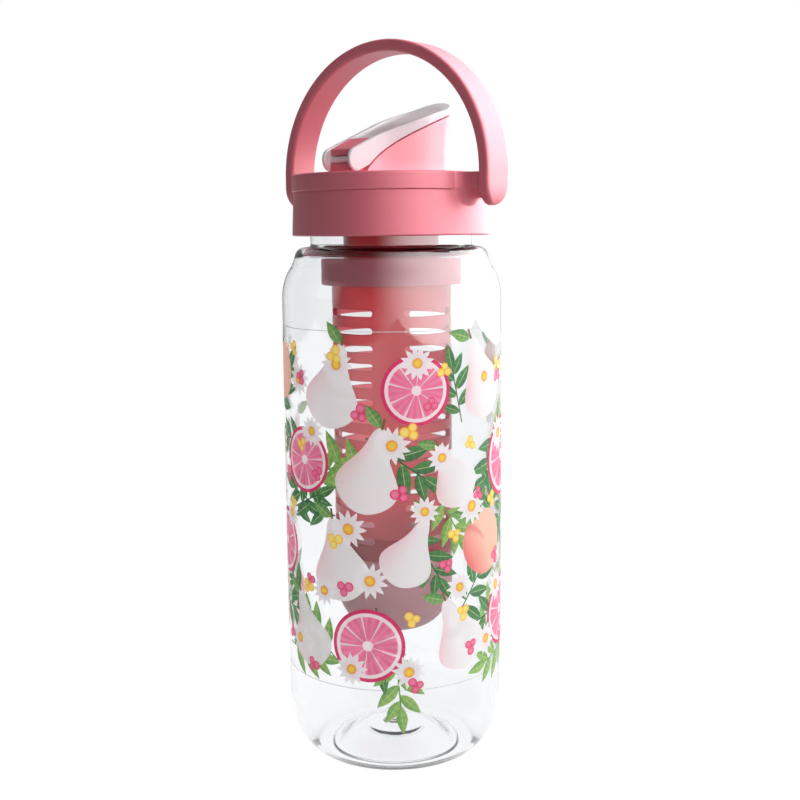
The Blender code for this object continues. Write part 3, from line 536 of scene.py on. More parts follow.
def blend(mask, first, second):
    """The first colour where the mask is 0, and the second where it is 1."""
    return first + np.clip(mask, 0, 1)[..., None] * (second - first)


def placed(points, x, y, turn, size):
    """Copies of a flat motif: each is scaled by its size, turned by its angle and moved to its (x, y)."""
    x, y, turn, size = [np.reshape(value, (-1,) + (1,) * (points.ndim - 1)) for value in (x, y, turn, size)]
    across, up = points[..., 0], points[..., 1]
    return np.stack([
        x + size * (across * np.cos(turn) - up * np.sin(turn)),
        y + size * (across * np.sin(turn) + up * np.cos(turn)),
    ], axis=-1)


def toss(columns, rows, first, step, nudge):
    """Places (x, y, turn, size) on a lattice whose odd rows are shifted by half a step. Sines of the
    place's number k nudge it by up to nudge mm, turn it, and change its size by up to 12 percent."""
    k = np.arange(columns * rows)
    row, column = np.divmod(k, columns)
    x = first[0] + step[0] * (column + 0.5 * (row % 2)) + nudge * np.sin(2.4 * k + first[1])
    y = first[1] + step[1] * row + nudge * np.cos(1.7 * k + first[0])
    return np.stack([x, y, 2.4 * k + row, 1 + 0.12 * np.sin(3.1 * k + row)])


def band(length, half, count):
    """A straight band of that length along x, with half its width to each side."""
    return np.stack(np.meshgrid(np.linspace(0, length, count), [-half, half], indexing="ij"), axis=-1)


def round_grid(share, count):
    """A grid of rings and spokes: each ring's share of the radius, each spoke's angle, and the points for
    a radius of 1."""
    share = np.array(share)[:, None]
    angle = np.linspace(0, 2 * math.pi, count, endpoint=False)[None, :]
    return share, angle, np.stack([share * np.cos(angle), share * np.sin(angle)], axis=-1)


def inked(name, level, places, *layers):
    """Print a motif at each place. Its layers are (points, colours, closed). The point (s, z) goes to the
    angle middle + s / 37.5, and stands 0.05 + 0.02 (level + layer) mm above the side. Copies take five
    heights in turn, 0.003 mm apart, so that no two that overlap lie in one place."""
    points, inks, faces = [], [], []
    for layer, (motif, colours, closed) in enumerate(layers):
        flat = placed(motif, *places)
        copy = np.arange(len(flat)).reshape((-1,) + (1,) * (flat.ndim - 2))
        radius = BODY_RADIUS + 0.05 + 0.02 * (level + layer) + 0.003 * (copy % 5)
        wrapped = around(radius, PRINT_MIDDLE + flat[..., 0] / BODY_RADIUS, flat[..., 1])
        faces.append(grid_faces(flat.shape[:-1], closed) + sum(len(done) for done in points))
        points.append(wrapped.reshape(-1, 3))
        inks.append(np.broadcast_to(colours, wrapped.shape).reshape(-1, 3))
    mesh = bpy.data.meshes.new(name)
    mesh.from_pydata(np.vstack(points) * MM, [], np.vstack(faces))
    ink = np.vstack(inks)
    mesh.color_attributes.new("ink", "FLOAT_COLOR", "POINT").data.foreach_set(
        "color", np.hstack([ink, np.ones((len(ink), 1))]).ravel()
    )
    finished(merged(mesh), body=BODY_OF["bottle_body"], slot="clear_body", look=print_ink, even=False)


# %% Print ink


def printed_ink():
    """Screen-print ink: the colour of each point, a little uneven, satin, and thin enough to let light
    through. It also glows at 0.4 of its own colour, which is painted light."""
    finish = Finish("printed_ink")
    colour = finish.node("Attribute", attribute_name="ink")
    uneven = finish.noise(0.7 * MM, 3.0)
    finish.set(
        Base_Color=finish.mix(0.16 * uneven, colour, (1.0, 1.0, 1.0)), Roughness=0.38 + 0.12 * uneven,
        IOR=1.2, Transmission_Weight=0.12, Specular_IOR_Level=0.4,
        # Painted light: the ink glows with its own colour at a strength of 0.4.
        Emission_Color=colour, Emission_Strength=0.4,
    )
    return finish.pass_lamps((0.8, 0.75, 0.75)).material


print_ink = printed_ink()

# %% Leaves


def leaf(length, width, dark, pale):
    """A pointed leaf along +x: the half width is width sin(pi t^0.8), and a pale rib runs down its
    middle."""
    t = np.linspace(0, 1, 11)[:, None]
    side = np.array([-1.0, -0.45, -0.08, 0.0, 0.08, 0.45, 1.0])[None, :]
    points = np.stack([length * (t + 0 * side), width * np.sin(math.pi * t ** 0.8) * side], axis=-1)
    shade = 0.5 + 0.4 * side + 0.25 * np.sin(9 * math.pi * t)
    rib = (np.abs(side) < 0.05) * np.ones_like(t)
    return points, blend(rib, blend(shade, dark, pale), srgb(196, 214, 150))


LEAF_ANGLES = np.radians([58, -55, 50, -47, 42, -38, 0])
LEAF_STARTS = np.array([4.0, 6.5, 10.0, 12.5, 16.0, 18.0, 20.0])
LEAF_SIZES = np.array([0.8, 0.95, 1.0, 1.0, 0.9, 0.85, 0.9])


def sprigs(name, places, dark, pale):
    """Seven leaves on a thin stem of 21 mm."""
    blade, tint = leaf(11.0, 2.1, dark, pale)
    spray = placed(blade, LEAF_STARTS, 0 * LEAF_STARTS, LEAF_ANGLES, LEAF_SIZES)
    inked(name, 0, places, (spray, tint, False), (band(21, 0.25, 9), dark, False))


sprigs("print_dark_sprigs", toss(5, 3, (-60, 58), (27, 30), 3.0), srgb(24, 92, 48), srgb(66, 132, 66))
sprigs("print_light_sprigs", toss(5, 2, (-48, 44), (26, 56), 4.0), srgb(92, 148, 66), srgb(150, 186, 92))

# %% Fruit


def pear(t):
    """A pear's half width at the share t of its length, which swells at the lower end: sqrt(t (1 - t))
    (1.35 - 0.75 t + 0.25 sin(2 pi t))."""
    return np.sqrt(np.clip(t * (1 - t), 0, None)) * (1.0 - 0.75 * t + 0.25 * np.sin(2 * math.pi * t) + 0.35)


def pears(name, places, length, width):
    """Pale pears that blush on one side, each with a short stalk and one leaf."""
    t = (1 - np.cos(np.linspace(0, math.pi, 21)))[:, None] / 2
    side = np.linspace(-1, 1, 13)[None, :]
    points = np.stack([length * (t - 0.5) + 0 * side, width * pear(t) * side], axis=-1)
    blush = np.clip(side - 0.15, 0, 1) * np.sin(math.pi * t)
    body = blend(0.7 * blush, srgb(240, 236, 238), srgb(240, 170, 180))
    blade, tint = leaf(8.0, 1.9, srgb(60, 130, 66), srgb(130, 176, 96))
    blade = placed(blade, length / 2, 0.4, 0.9, 1.0)
    stalk = band(3.2, 0.4, 3) + [length / 2 - 0.5, 0]
    inked(name, 3, places, (points, body, False), (blade, tint, False), (stalk, srgb(120, 90, 50), False))


def slices(name, places, radius, rind, pulp):
    """Citrus slices: r / radius from 0.14 to 0.8 is pulp in nine wedges with pith between them, and above
    0.895 it is rind."""
    share, angle, points = round_grid([0.0, 0.12, 0.16, 0.5, 0.78, 0.82, 0.88, 0.91, 1.0], 108)
    wedge = np.abs(np.mod(9 * angle / (2 * math.pi), 1.0) - 0.5)
    inside = (share > 0.14) & (share < 0.8) & (wedge < 0.44)
    flesh = blend(0.5 + 0.5 * np.cos(23 * angle) * share, pulp, 0.8 * pulp + 0.2)
    colour = blend(inside * 1.0, srgb(252, 232, 238), flesh)
    colour = blend((share + 0 * angle) > 0.895, colour, rind)
    inked(name, 5, places, (radius * points, colour, True))


def peaches(name, places, radius):
    """Round peaches: the outline is radius (1 - 0.1 cos(a)^40) where cos(a) > 0, and a darker crease runs
    from the top."""
    share, angle, _ = round_grid(np.linspace(0, 1, 9), 60)
    edge = radius * (1 - 0.10 * np.clip(np.cos(angle), 0, 1) ** 40)
    points = np.stack([share * edge * np.cos(angle), share * edge * np.sin(angle) * 0.96], axis=-1)
    bend = angle - 0.5 * share
    crease = np.exp(-(bend / 0.16) ** 2) + np.exp(-((bend - 2 * math.pi) / 0.16) ** 2)
    ripe = blend(share * np.clip(np.sin(angle), 0, 1), srgb(250, 190, 168), srgb(236, 110, 112))
    blade, tint = leaf(11.0, 2.6, srgb(46, 120, 60), srgb(126, 172, 90))
    blade = placed(blade, [radius * 0.86] * 2, [0.0] * 2, [0.8, -0.6], [1.0, 0.8])
    body = blend(0.6 * crease, ripe, srgb(214, 88, 96))
    inked(name, 3, places, (points, body, True), (blade, tint, False))


FRUIT = np.array([2, 0, 1, 0, 1, 1, 0, 0, 2, 0, 0, 1, 0, 0, 1, 2, 0, 1, 0, 2])
fruit_places = toss(5, 4, (-63, 50), (28, 28), 2.0)
fruit_places[2] = math.pi / 2 + 0.5 * np.sin(fruit_places[2])
pears("print_pears", fruit_places[:, FRUIT == 0], 26.0, 15.5)
slices("print_citrus_slices", fruit_places[:, FRUIT == 1], 12.5, srgb(214, 30, 98), srgb(236, 84, 140))
peaches("print_peaches", fruit_places[:, FRUIT == 2], 10.5)

# %% Daisies and berries


def daisies(name, places):
    """Twelve white petals round a yellow middle with an orange edge."""
    blade, tint = leaf(5.0, 0.95, srgb(252, 250, 250), srgb(236, 232, 238))
    turns = np.linspace(0, 2 * math.pi, 12, endpoint=False)
    petals = placed(blade, 0.8 * np.cos(turns), 0.8 * np.sin(turns), turns, 1 + 0 * turns)
    shade = np.broadcast_to(blend(blade[..., 0] / 5.0, srgb(226, 214, 222), srgb(252, 250, 250)), tint.shape)
    middle, gold = disc(1.75, srgb(250, 206, 60), srgb(232, 136, 36))
    inked(name, 7, places, (petals, shade, False), (middle, gold, True))


def disc(radius, inner, outer):
    """A round spot whose colour changes towards its edge as the square of the distance."""
    share, angle, points = round_grid(np.linspace(0, 1, 5), 20)
    return radius * points, blend(share ** 2 + 0 * angle, inner, outer)


def berries(name, places, inner, outer):
    """Three round berries in a cluster."""
    spot, tint = disc(1.55, inner, outer)
    cluster = placed(spot, [0, 2.6, 1.1], [0, 0.7, 2.4], [0, 1, 2], [1, 0.9, 0.85])
    inked(name, 9, places, (cluster, tint, True))


def film_edges():
    """The printed film's upper and lower edge, as hairlines of 0.24 mm."""
    line = band(2 * FILM_HALF, HAIRLINE_HALF, 121) - [FILM_HALF, 0]
    places = ([0, 0], [PRINT_LOW, PRINT_HIGH], [0, 0], [1, 1])
    inked("print_film_edges", 0, places, (line, srgb(206, 204, 208), False))


film_edges()
daisies("print_daisies", toss(6, 5, (-64, 42), (24, 24), 4.0))
berries("print_gold_berries", toss(5, 4, (-58, 60), (29, 27), 5.0), srgb(255, 232, 120), srgb(246, 178, 40))
berries("print_pink_berries", toss(5, 4, (-50, 40), (26, 30), 5.0), srgb(246, 120, 160), srgb(206, 20, 84))

# %% [markdown]
# ## The lid's inside
# The translucent liner does the sealing: its wall carries the lid's thread, its plate presses a gasket on
# the bottle's lip, and a long spigot in its middle takes the infuser. It is one turned wall, from the
# bore up.

# %% Liner, gaskets and O-ring
LINER_BORE = 29.3
LINER_LOW = 182.3
PLATE_Z = 196.52
PLATE_TOP = 198.32
SPIGOT_RADIUS = 16.3
SPIGOT_BORE = 14.7
SPIGOT_END = 167.52
INFUSER_LEAD = 6.0
LINER_RADIUS = 30.6
BOSS_RADIUS = 9.3
BOSS_Z = PLATE_Z - 2.0
STUB_HOLE = 5.9
SEAT_RADIUS = 7.7
SEAT_Z = 196.67
FINE_STEP = 0.25
PLAIN_STEP = 3.0


def liner_profile():
    """The liner's closed line: down the outside, up the threaded bore, down and up the spigot, round the
    boss."""
    corners = [
        (LINER_RADIUS, PLATE_TOP, 0.4), (LINER_RADIUS, LINER_LOW, 0.5), (LINER_BORE, LINER_LOW, 0.3),
        (LINER_BORE, PLATE_Z, 0.4), (SPIGOT_RADIUS, PLATE_Z, 1.0), (SPIGOT_RADIUS, SPIGOT_END, 0.4),
        (SPIGOT_BORE, SPIGOT_END, 0.4), (SPIGOT_BORE, PLATE_Z, 0.5), (BOSS_RADIUS, PLATE_Z, 0.5),
        (BOSS_RADIUS, BOSS_Z, 0.4), (STUB_HOLE, BOSS_Z, 0.3), (STUB_HOLE, SEAT_Z, 0.0),
        (SEAT_RADIUS, SEAT_Z, 0.2), (SEAT_RADIUS, PLATE_TOP, 0.2),
    ]
    line = softened(corners)
    fine = []
    for start, end in zip(line, line[1:]):
        on_wall = min(abs(start[0] - LINER_BORE), abs(start[0] - SPIGOT_RADIUS)) < ON_WALL
        threaded = on_wall and abs(start[0] - end[0]) < ON_WALL
        count = max(1, int(np.linalg.norm(end - start) / (FINE_STEP if threaded else PLAIN_STEP)))
        fine.append(start + (end - start) * np.linspace(0, 1, count, endpoint=False)[:, None])
    return np.vstack(fine + [line[-1:]])


def liner_relief(angle, radius, height):
    """The lid's thread stands inwards from the bore, and the infuser's thread outwards from the
    spigot."""
    inner = thread(THREAD_LEAD, 183.4, 193.5, -1.1, 1.8, LINER_BORE, phase=0.5)
    outer = thread(INFUSER_LEAD, 168.6, 174.6, 0.55, 1.6, SPIGOT_RADIUS)
    return inner(angle, radius, height) + outer(angle, radius, height)


finished(turned("liner_wall", liner_profile(), liner_relief), "lid_liner")


def soft_ring(name, inner, outer, low, high, cut, node):
    """A turned ring with rounded corners."""
    corners = [(outer, high, cut), (outer, low, cut), (inner, low, cut), (inner, high, cut)]
    finished(turned(name, softened(corners)), node)


soft_ring("lip_gasket", 25.7, 28.1, 194.82, 196.22, 0.4, "lid_gasket")
soft_ring("stub_o_ring", 5.95, 7.35, 196.98, 198.3, 0.6, "spout_o_ring")
soft_ring("socket_washer", 15.0, 17.0, 166.32, 167.22, 0.25, "infuser_gasket")

# %% [markdown]
# ## The infuser's collar and cup
# The collar is opaque: an outer ring that the basket is bonded into, a top plate, and a socket with the
# thread for the spigot. The cup below has a neck that pushes into the basket and a round frosted bottom.

# %% Infuser collar and cup
COLLAR_TOP = 174.72
COLLAR_LOW = 164.32
BASKET_RADIUS = 20.5
BASKET_BORE = 19.0
BASKET_TOP = 172.92
BASKET_LOW = 71.52
CUP_RIM = 71.22
CUP_NECK = CUP_RIM + 8.2
COLLAR_RADIUS = 24.0
GROOVE_RADIUS = 20.8
GROOVE_TOP = COLLAR_TOP - 1.5
SOCKET_RADIUS = 18.7
SOCKET_BORE = 17.3
SOCKET_LOW = 164.62
LEDGE_TOP = 166.02
CUP_BEND_RADIUS = 9.0
CUP_BEND_Z = 60.92
CUP_WALL = 1.5
CUP_NECK_RADIUS = 18.7
CUP_NECK_BORE = 17.2


def infuser_collar_profile():
    """Down the outside, up behind the basket, down the socket's back, round its ledge and up its bore."""
    return softened([
        (COLLAR_RADIUS, COLLAR_TOP, 1.5), (COLLAR_RADIUS, COLLAR_LOW, 0.5), (GROOVE_RADIUS, COLLAR_LOW, 0.3),
        (GROOVE_RADIUS, GROOVE_TOP, 0.2), (SOCKET_RADIUS, GROOVE_TOP, 0.2), (SOCKET_RADIUS, SOCKET_LOW, 0.4),
        (SPIGOT_BORE, SOCKET_LOW, 0.3), (SPIGOT_BORE, LEDGE_TOP, 0.2), (SOCKET_BORE, LEDGE_TOP, 0.2),
        (SOCKET_BORE, COLLAR_TOP, 0.4),
    ])


def cup_profile():
    """The cup's line: inside from the floor up to the neck's rim, then down the outside to the bottom."""
    bend = (CUP_BEND_RADIUS, CUP_BEND_Z)
    inside = arc(bend, 10.0, 15.0, -90, 0, 22)
    neck = softened([
        (BASKET_BORE, CUP_BEND_Z, 0.0), (BASKET_BORE, CUP_RIM - 1.4, 0.4), (CUP_NECK_BORE, CUP_RIM, 0.4),
        (CUP_NECK_BORE, CUP_NECK, 0.4), (CUP_NECK_RADIUS, CUP_NECK, 0.5), (CUP_NECK_RADIUS, CUP_RIM, 0.0),
        (BASKET_RADIUS, CUP_RIM, 0.5), (BASKET_RADIUS, CUP_BEND_Z, 0.0),
    ], closed=False)
    outside = arc(bend, 10.0 + CUP_WALL, 15.0 + CUP_WALL, 0, -90, 26)
    return np.vstack([[(0.0, inside[0, 1])], inside, neck[1:], outside[1:], [(0.0, outside[-1, 1])]])


finished(turned("collar_ring", infuser_collar_profile()), "infuser_collar")
finished(turned("cup_wall", cup_profile()), "infuser_cup")

# %% [markdown]
# ## The basket
# The basket is a tube with four columns of fourteen long slots. Fifty-six boolean cuts would leave poor
# shading, so one cell is worked out flat, as rings that turn a rectangle into a slot and go through the
# wall, and the cell is repeated round the tube. The two far columns stand half a pitch lower, plain
# patches fill what that leaves, and plain rings close the tube above and below. The band of deeper red at
# the lower end is painted shade: colour alone, which stands for the cup's neck seen through the wall.

# %% Basket
SLOT_RADIUS = 1.15
SLOT_PITCH = 5.95
SLOT_ROWS = 14
SLOT_COLUMNS = 4
SLOT_EDGE = 0.3
CELL_STEPS = 32
MIDDLE_RADIUS = (BASKET_RADIUS + BASKET_BORE) / 2
CELL_HALF = math.pi * MIDDLE_RADIUS / SLOT_COLUMNS
SLOT_HALF = CELL_HALF * 2 / 3 - SLOT_RADIUS
SEAM_ANGLE = math.radians(-53.5)
STAGGER = [0.0, SLOT_PITCH / 2, SLOT_PITCH / 2, 0.0]
FIRST_SLOT = 155.5
LAST_SLOT = FIRST_SLOT - SLOT_PITCH * (SLOT_ROWS - 1)
PAINTED_SHADE_BLEND = 0.25 * MM


def slot_cell():
    """One cell as rings of (along, up, radius). A ring is the slot's outline, which is the nearest point
    of its middle line plus a radius, grown by an offset; the first and last ring are the cell's
    rectangle."""
    across = np.linspace(-CELL_HALF, CELL_HALF, CELL_STEPS + 1)[:-1]
    rise = np.linspace(-SLOT_PITCH / 2, SLOT_PITCH / 2, 5)[:-1]
    low = np.stack([across, np.full(CELL_STEPS, -SLOT_PITCH / 2)], axis=1)
    right = np.stack([np.full(4, CELL_HALF), rise], axis=1)
    border = np.vstack([low, right, -low, -right])
    middle = np.stack([np.clip(border[:, 0], -SLOT_HALF, SLOT_HALF), 0 * border[:, 0]], axis=1)
    toward = border - middle
    toward /= np.linalg.norm(toward, axis=1, keepdims=True)
    turn = np.radians([0, 30, 60, 90])
    grow = np.concatenate([[0.8], SLOT_EDGE * (1 - np.sin(turn))])
    sink = np.concatenate([[0.0], SLOT_EDGE * (1 - np.cos(turn))])
    rings = middle + toward * (SLOT_RADIUS + np.concatenate([grow, grow[::-1]])[:, None, None])
    rings = np.concatenate([border[None], rings, border[None]])
    radius = np.concatenate([
        [BASKET_RADIUS], BASKET_RADIUS - sink, (BASKET_BORE + sink)[::-1], [BASKET_BORE],
    ])
    return np.concatenate([rings, np.broadcast_to(radius[:, None, None], (*rings.shape[:2], 1))], axis=-1)


def slotted_wall():
    """Every cell of the slotted part: angle = seam + (column + 1/2) 90 degrees + along / middle radius.
    The two far columns stand half a pitch lower."""
    along, up, radius = np.moveaxis(slot_cell(), -1, 0)
    column = (np.arange(SLOT_COLUMNS) + 0.5)[:, None, None, None]
    row = np.arange(SLOT_ROWS)[None, :, None, None]
    angle = SEAM_ANGLE + column * 2 * math.pi / SLOT_COLUMNS + along / MIDDLE_RADIUS + 0 * row
    height = FIRST_SLOT - SLOT_PITCH * row + up + 0 * column - np.array(STAGGER)[:, None, None, None]
    return grid_mesh("basket_wall", around(radius, angle, height))


def plain_patches():
    """The plain bands of half a pitch that the stagger leaves, above the far columns and below the near
    ones."""
    top = FIRST_SLOT + SLOT_PITCH / 2 - SLOT_PITCH / 4 * np.arange(3)
    high = np.array([top if drop else top - SLOT_PITCH * SLOT_ROWS for drop in STAGGER])
    across = np.linspace(0, 1, CELL_STEPS + 1)[None, :] + np.arange(SLOT_COLUMNS)[:, None]
    angle = (SEAM_ANGLE + across * 2 * math.pi / SLOT_COLUMNS)[:, None]
    angle = np.broadcast_to(angle, (SLOT_COLUMNS, 3, CELL_STEPS + 1))
    height = np.broadcast_to(high[:, :, None], angle.shape)
    walls = [around(radius, angle, height) for radius in (BASKET_RADIUS, BASKET_BORE)]
    return [grid_mesh("patch", wall, close_columns=False) for wall in walls]


def basket_finish():
    """The basket's salmon, with painted shade below the cup's neck: deeper red for the neck seen through the
    wall.
    """
    finish = translucent("basket_salmon", (1.0, 0.22, 0.25), (0.98, 0.17, 0.20), 0.82, 0.32)
    height = finish.node("SeparateXYZ", {0: finish.place()}, "Z")
    # Painted shade: below the height of the cup's neck the colour turns deep red, for the neck seen through
    # it.
    painted_shade_band = (CUP_NECK * MM - height) * (1.0 / PAINTED_SHADE_BLEND)
    plain = Value(finish, finish.tree.nodes["Mix"].outputs[2])
    finish.set(Base_Color=finish.mix(painted_shade_band.clip(), plain, (0.70, 0.02, 0.04)))
    return finish.pass_lamps((0.98, 0.60, 0.62)).material


def plain_ring(start, end):
    """The wall from the slotted part to one end of the tube and back, with a round edge."""
    corners = [
        (BASKET_RADIUS, start, 0), (BASKET_RADIUS, end, 0.5),
        (BASKET_BORE, end, 0.5), (BASKET_BORE, start, 0),
    ]
    columns = SLOT_COLUMNS * CELL_STEPS
    return turned("plain_ring", softened(corners, closed=False), columns=columns, start=SEAM_ANGLE)


rings = [plain_ring(FIRST_SLOT + SLOT_PITCH / 2, BASKET_TOP), plain_ring(LAST_SLOT - SLOT_PITCH, BASKET_LOW)]
finished(facing_out(merged(slotted_wall(), *plain_patches(), *rings)), "infuser_basket", look=basket_finish())

# %% [markdown]
# ## Joining and cutting solids
# The lid's ears, the spout and its cover are solids that a mould-maker would describe as blocks joined
# and cut. Blender's manifold boolean does that, because every part is a closed solid. A block is a flat
# outline carried straight along one axis.

# %% Helpers for solids
AXIS_TURNS = {"x": (2, 0, 1), "z": (0, 1, 2)}


def block(outline, low, high, axis="z"):
    """Carry a flat outline along an axis. Along z the outline is (x, y); along x it is (y, z)."""
    flat = np.asarray(outline, float)
    count = len(flat)
    ends = [np.hstack([flat, np.full((count, 1), level)]) for level in (low, high)]
    points = np.vstack(ends)[:, AXIS_TURNS[axis]]
    ring = np.arange(count)
    after = np.roll(ring, -1)
    sides = np.stack([ring, after, after + count, ring + count], axis=1).tolist()
    mesh = bpy.data.meshes.new("block")
    mesh.from_pydata(points * MM, [], sides + [ring[::-1].tolist(), (ring + count).tolist()])
    return facing_out(merged(mesh))


def stacked(name, points):
    """Skin a stack of outlines, and close both ends with the outline's middle point."""
    middles = [row.mean(axis=0)[None, None] for row in (points[0], points[-1])]
    ends = [np.repeat(middle, points.shape[1], axis=1) for middle in middles]
    return facing_out(grid_mesh(name, np.concatenate([ends[0], points, ends[1]])))


def round_bar(radius, start, end, centre, axis="x", count=48, edge=0.0):
    """A bar along x at the centre (y, z), or along z at the centre (x, y), with its ends rounded by
    edge."""
    profile = softened(
        [(0.0, end, 0.0), (radius, end, edge), (radius, start, edge), (0.0, start, 0.0)], closed=False
    )
    angle = np.linspace(0.0, 2 * math.pi, count, endpoint=False)[None, :]
    across = centre[0] + profile[:, :1] * np.cos(angle)
    up = centre[1] + profile[:, :1] * np.sin(angle)
    along = np.repeat(profile[:, 1:], count, axis=1)
    points = np.stack([across, up, along], axis=-1)[..., AXIS_TURNS[axis]]
    return facing_out(grid_mesh("bar", points))


def shaped(mesh, *steps):
    """Apply boolean steps to a mesh, each (operation, other mesh), and return the new mesh."""
    item = linked("work", mesh)
    tools = []
    for operation, other in steps:
        tools.append(linked("tool", other))
        modifier = item.modifiers.new("cut", "BOOLEAN")
        modifier.operation = operation
        modifier.object = tools[-1]
        modifier.solver = "MANIFOLD"
    return taken(item, mesh.name, tools)


def taken(item, name, tools=()):
    """Take an object's finished mesh out of the scene, and delete the object and its tools."""
    graph = bpy.context.evaluated_depsgraph_get()
    result = bpy.data.meshes.new_from_object(item.evaluated_get(graph), depsgraph=graph)
    for used in (item, *tools):
        bpy.data.meshes.remove(used.data)
    result.name = name
    return result


def softly(mesh, voxel, smoothing):
    """Rebuild a solid on a fine voxel net and relax it, so that every edge gets a moulded radius."""
    item = linked("work", mesh)
    net = item.modifiers.new("net", "REMESH")
    net.mode = "VOXEL"
    net.voxel_size = voxel * MM
    relax = item.modifiers.new("relax", "SMOOTH")
    relax.factor = 0.5
    relax.iterations = smoothing
    return taken(item, mesh.name)


def bent(mesh, rule):
    """Move a mesh's points, in mm, by a rule from points to points."""
    points = np.empty(len(mesh.vertices) * 3)
    mesh.vertices.foreach_get("co", points)
    mesh.vertices.foreach_set("co", rule(points.reshape(-1, 3) / MM).ravel() * MM)
    mesh.update()
    return mesh


# %% [markdown]
# ## The lid's shell
# The pink skirt and the pink top ring are two mouldings with a fine line between them. On two opposite
# sides a U-shaped ear grows out of both, with a hollow fillet at its root, and holds one of the handle's
# pegs.

# %% Lid values
SKIRT_BORE = 30.9
SKIRT_RADIUS = 33.0
SKIRT_LOW_RADIUS = 33.6
SKIRT_BOTTOM = 180.82
LID_RADIUS = 33.5
LID_TOP = 201.22
DECK_Z = 200.62
DECK_UNDER = 198.62
PARTING = 195.42
PARTING_GAP = 0.06
PIVOT_Z = 197.52
EAR_END = 40.4
EAR_HALF = 5.0
EAR_FILLET = 4.0
EAR_TOP = LID_TOP - 0.4
EAR_EDGE = 0.6
PEG_RADIUS = 2.8

# %% Ears


def ear(side):
    """An ear as a stack of U outlines. At a distance d from the lid its half width is 5 + f, where f is
    4 - sqrt(16 - (4 - d)^2), and its root follows the lid's round wall."""
    edge = EAR_EDGE * np.array([1.0, 0.6, 0.3, 0.1, 0.0])
    reach = EAR_END - SKIRT_RADIUS
    root = SKIRT_BORE + 0.3 - SKIRT_RADIUS
    fillet = EAR_FILLET * np.linspace(0.0, 1.0, 14) ** 1.6
    out = np.concatenate([[root], fillet, reach - edge])[:, None]
    rounded = EAR_EDGE - np.sqrt(EAR_EDGE ** 2 - (EAR_EDGE - edge) ** 2)
    inset = np.concatenate([np.zeros(15), rounded])[:, None]
    inward = np.clip(EAR_FILLET - out, 0, EAR_FILLET)
    half = EAR_HALF + EAR_FILLET - np.sqrt(EAR_FILLET ** 2 - inward ** 2) - inset
    angle = np.radians(np.linspace(180, 360, 40))[None, :]
    y = np.hstack([half * np.cos(angle), half, half - 0.25, 0.25 - half, -half])
    top = EAR_TOP - inset
    z = np.hstack([PIVOT_Z + half * np.sin(angle), top - 0.25, top, top, top - 0.25])
    on_lid = np.sqrt(SKIRT_RADIUS ** 2 - y ** 2)
    flat = np.where(out < 0, 1.0, np.clip(out / EAR_FILLET, 0, 1))
    x = side * (out + on_lid + (SKIRT_RADIUS - on_lid) * flat)
    return stacked("ear", np.stack([x, y, z], axis=-1))


def cut_level(mesh, height, keep_above):
    """Cut a solid level at a height and close the cut."""

    def cut(shape):
        found = bmesh.ops.bisect_plane(
            shape, geom=[*shape.verts, *shape.edges, *shape.faces], plane_co=(0, 0, height * MM),
            plane_no=(0, 0, 1), clear_inner=keep_above, clear_outer=not keep_above,
        )
        rim = [item for item in found["geom_cut"] if isinstance(item, bmesh.types.BMEdge)]
        bmesh.ops.contextual_create(shape, geom=rim)
        bmesh.ops.recalc_face_normals(shape, faces=shape.faces)

    return edited(mesh, cut)


def with_ears(ring, height, keep_above):
    """Join both ears to a lid ring, each cut at the parting line and bored for its peg."""
    steps = []
    for side in (1, -1):
        span = sorted((side * 34.9, side * 46.0))
        bore = round_bar(PEG_RADIUS + 0.3, *span, (0.0, PIVOT_Z))
        steps.append(("UNION", shaped(cut_level(ear(side), height, keep_above), ("DIFFERENCE", bore))))
    return shaped(ring, *steps)


# %% Skirt and top ring


def skirt_profile():
    """A plain tapered ring with a rounded lower edge and a fine edge at the parting line."""
    top = PARTING - PARTING_GAP / 2
    return softened([
        (SKIRT_RADIUS, top, 0.25), (SKIRT_LOW_RADIUS, SKIRT_BOTTOM, 0.7),
        (SKIRT_BORE, SKIRT_BOTTOM, 0.4), (SKIRT_BORE, top, 0.2),
    ])


def top_ring_profile():
    """The ring stands 0.5 mm proud of the skirt; its top runs in to the sunk deck and the spout's
    hole."""
    low = PARTING + PARTING_GAP / 2
    return softened([
        (LID_RADIUS, LID_TOP, 0.9), (LID_RADIUS, low, 0.45), (SKIRT_BORE, low, 0.2),
        (SKIRT_BORE, DECK_UNDER, 0.3), (STUB_HOLE, DECK_UNDER, 0.3), (STUB_HOLE, DECK_Z, 0.3),
        (31.1, DECK_Z, 0.3), (31.5, LID_TOP, 0.3),
    ])


skirt = with_ears(turned("lid_skirt", skirt_profile()), PARTING - PARTING_GAP / 2, keep_above=False)
finished(skirt, "lid_cap")
top_ring = with_ears(turned("lid_top_ring", top_ring_profile()), PARTING + PARTING_GAP / 2, keep_above=True)
finished(top_ring, "lid_collar")

# %% [markdown]
# ## The handle
# One strap, flat on its inner side and rounded on its outer side, runs from a round-ended leg up over the
# lid and down to the other leg. Its section is carried along that path, and shrinks to nothing at both
# ends.

# %% Handle
HANDLE_INNER = EAR_END + 0.3
ARCH_Z = LID_TOP
HANDLE_HALF = 5.95
ARCH_RISE = HANDLE_INNER - 0.8
HANDLE_DEPTH = 4.0
TIP_DROP = 7.3
STRAP_CUTS = [1.1, 1.3, 1.3, 1.1]


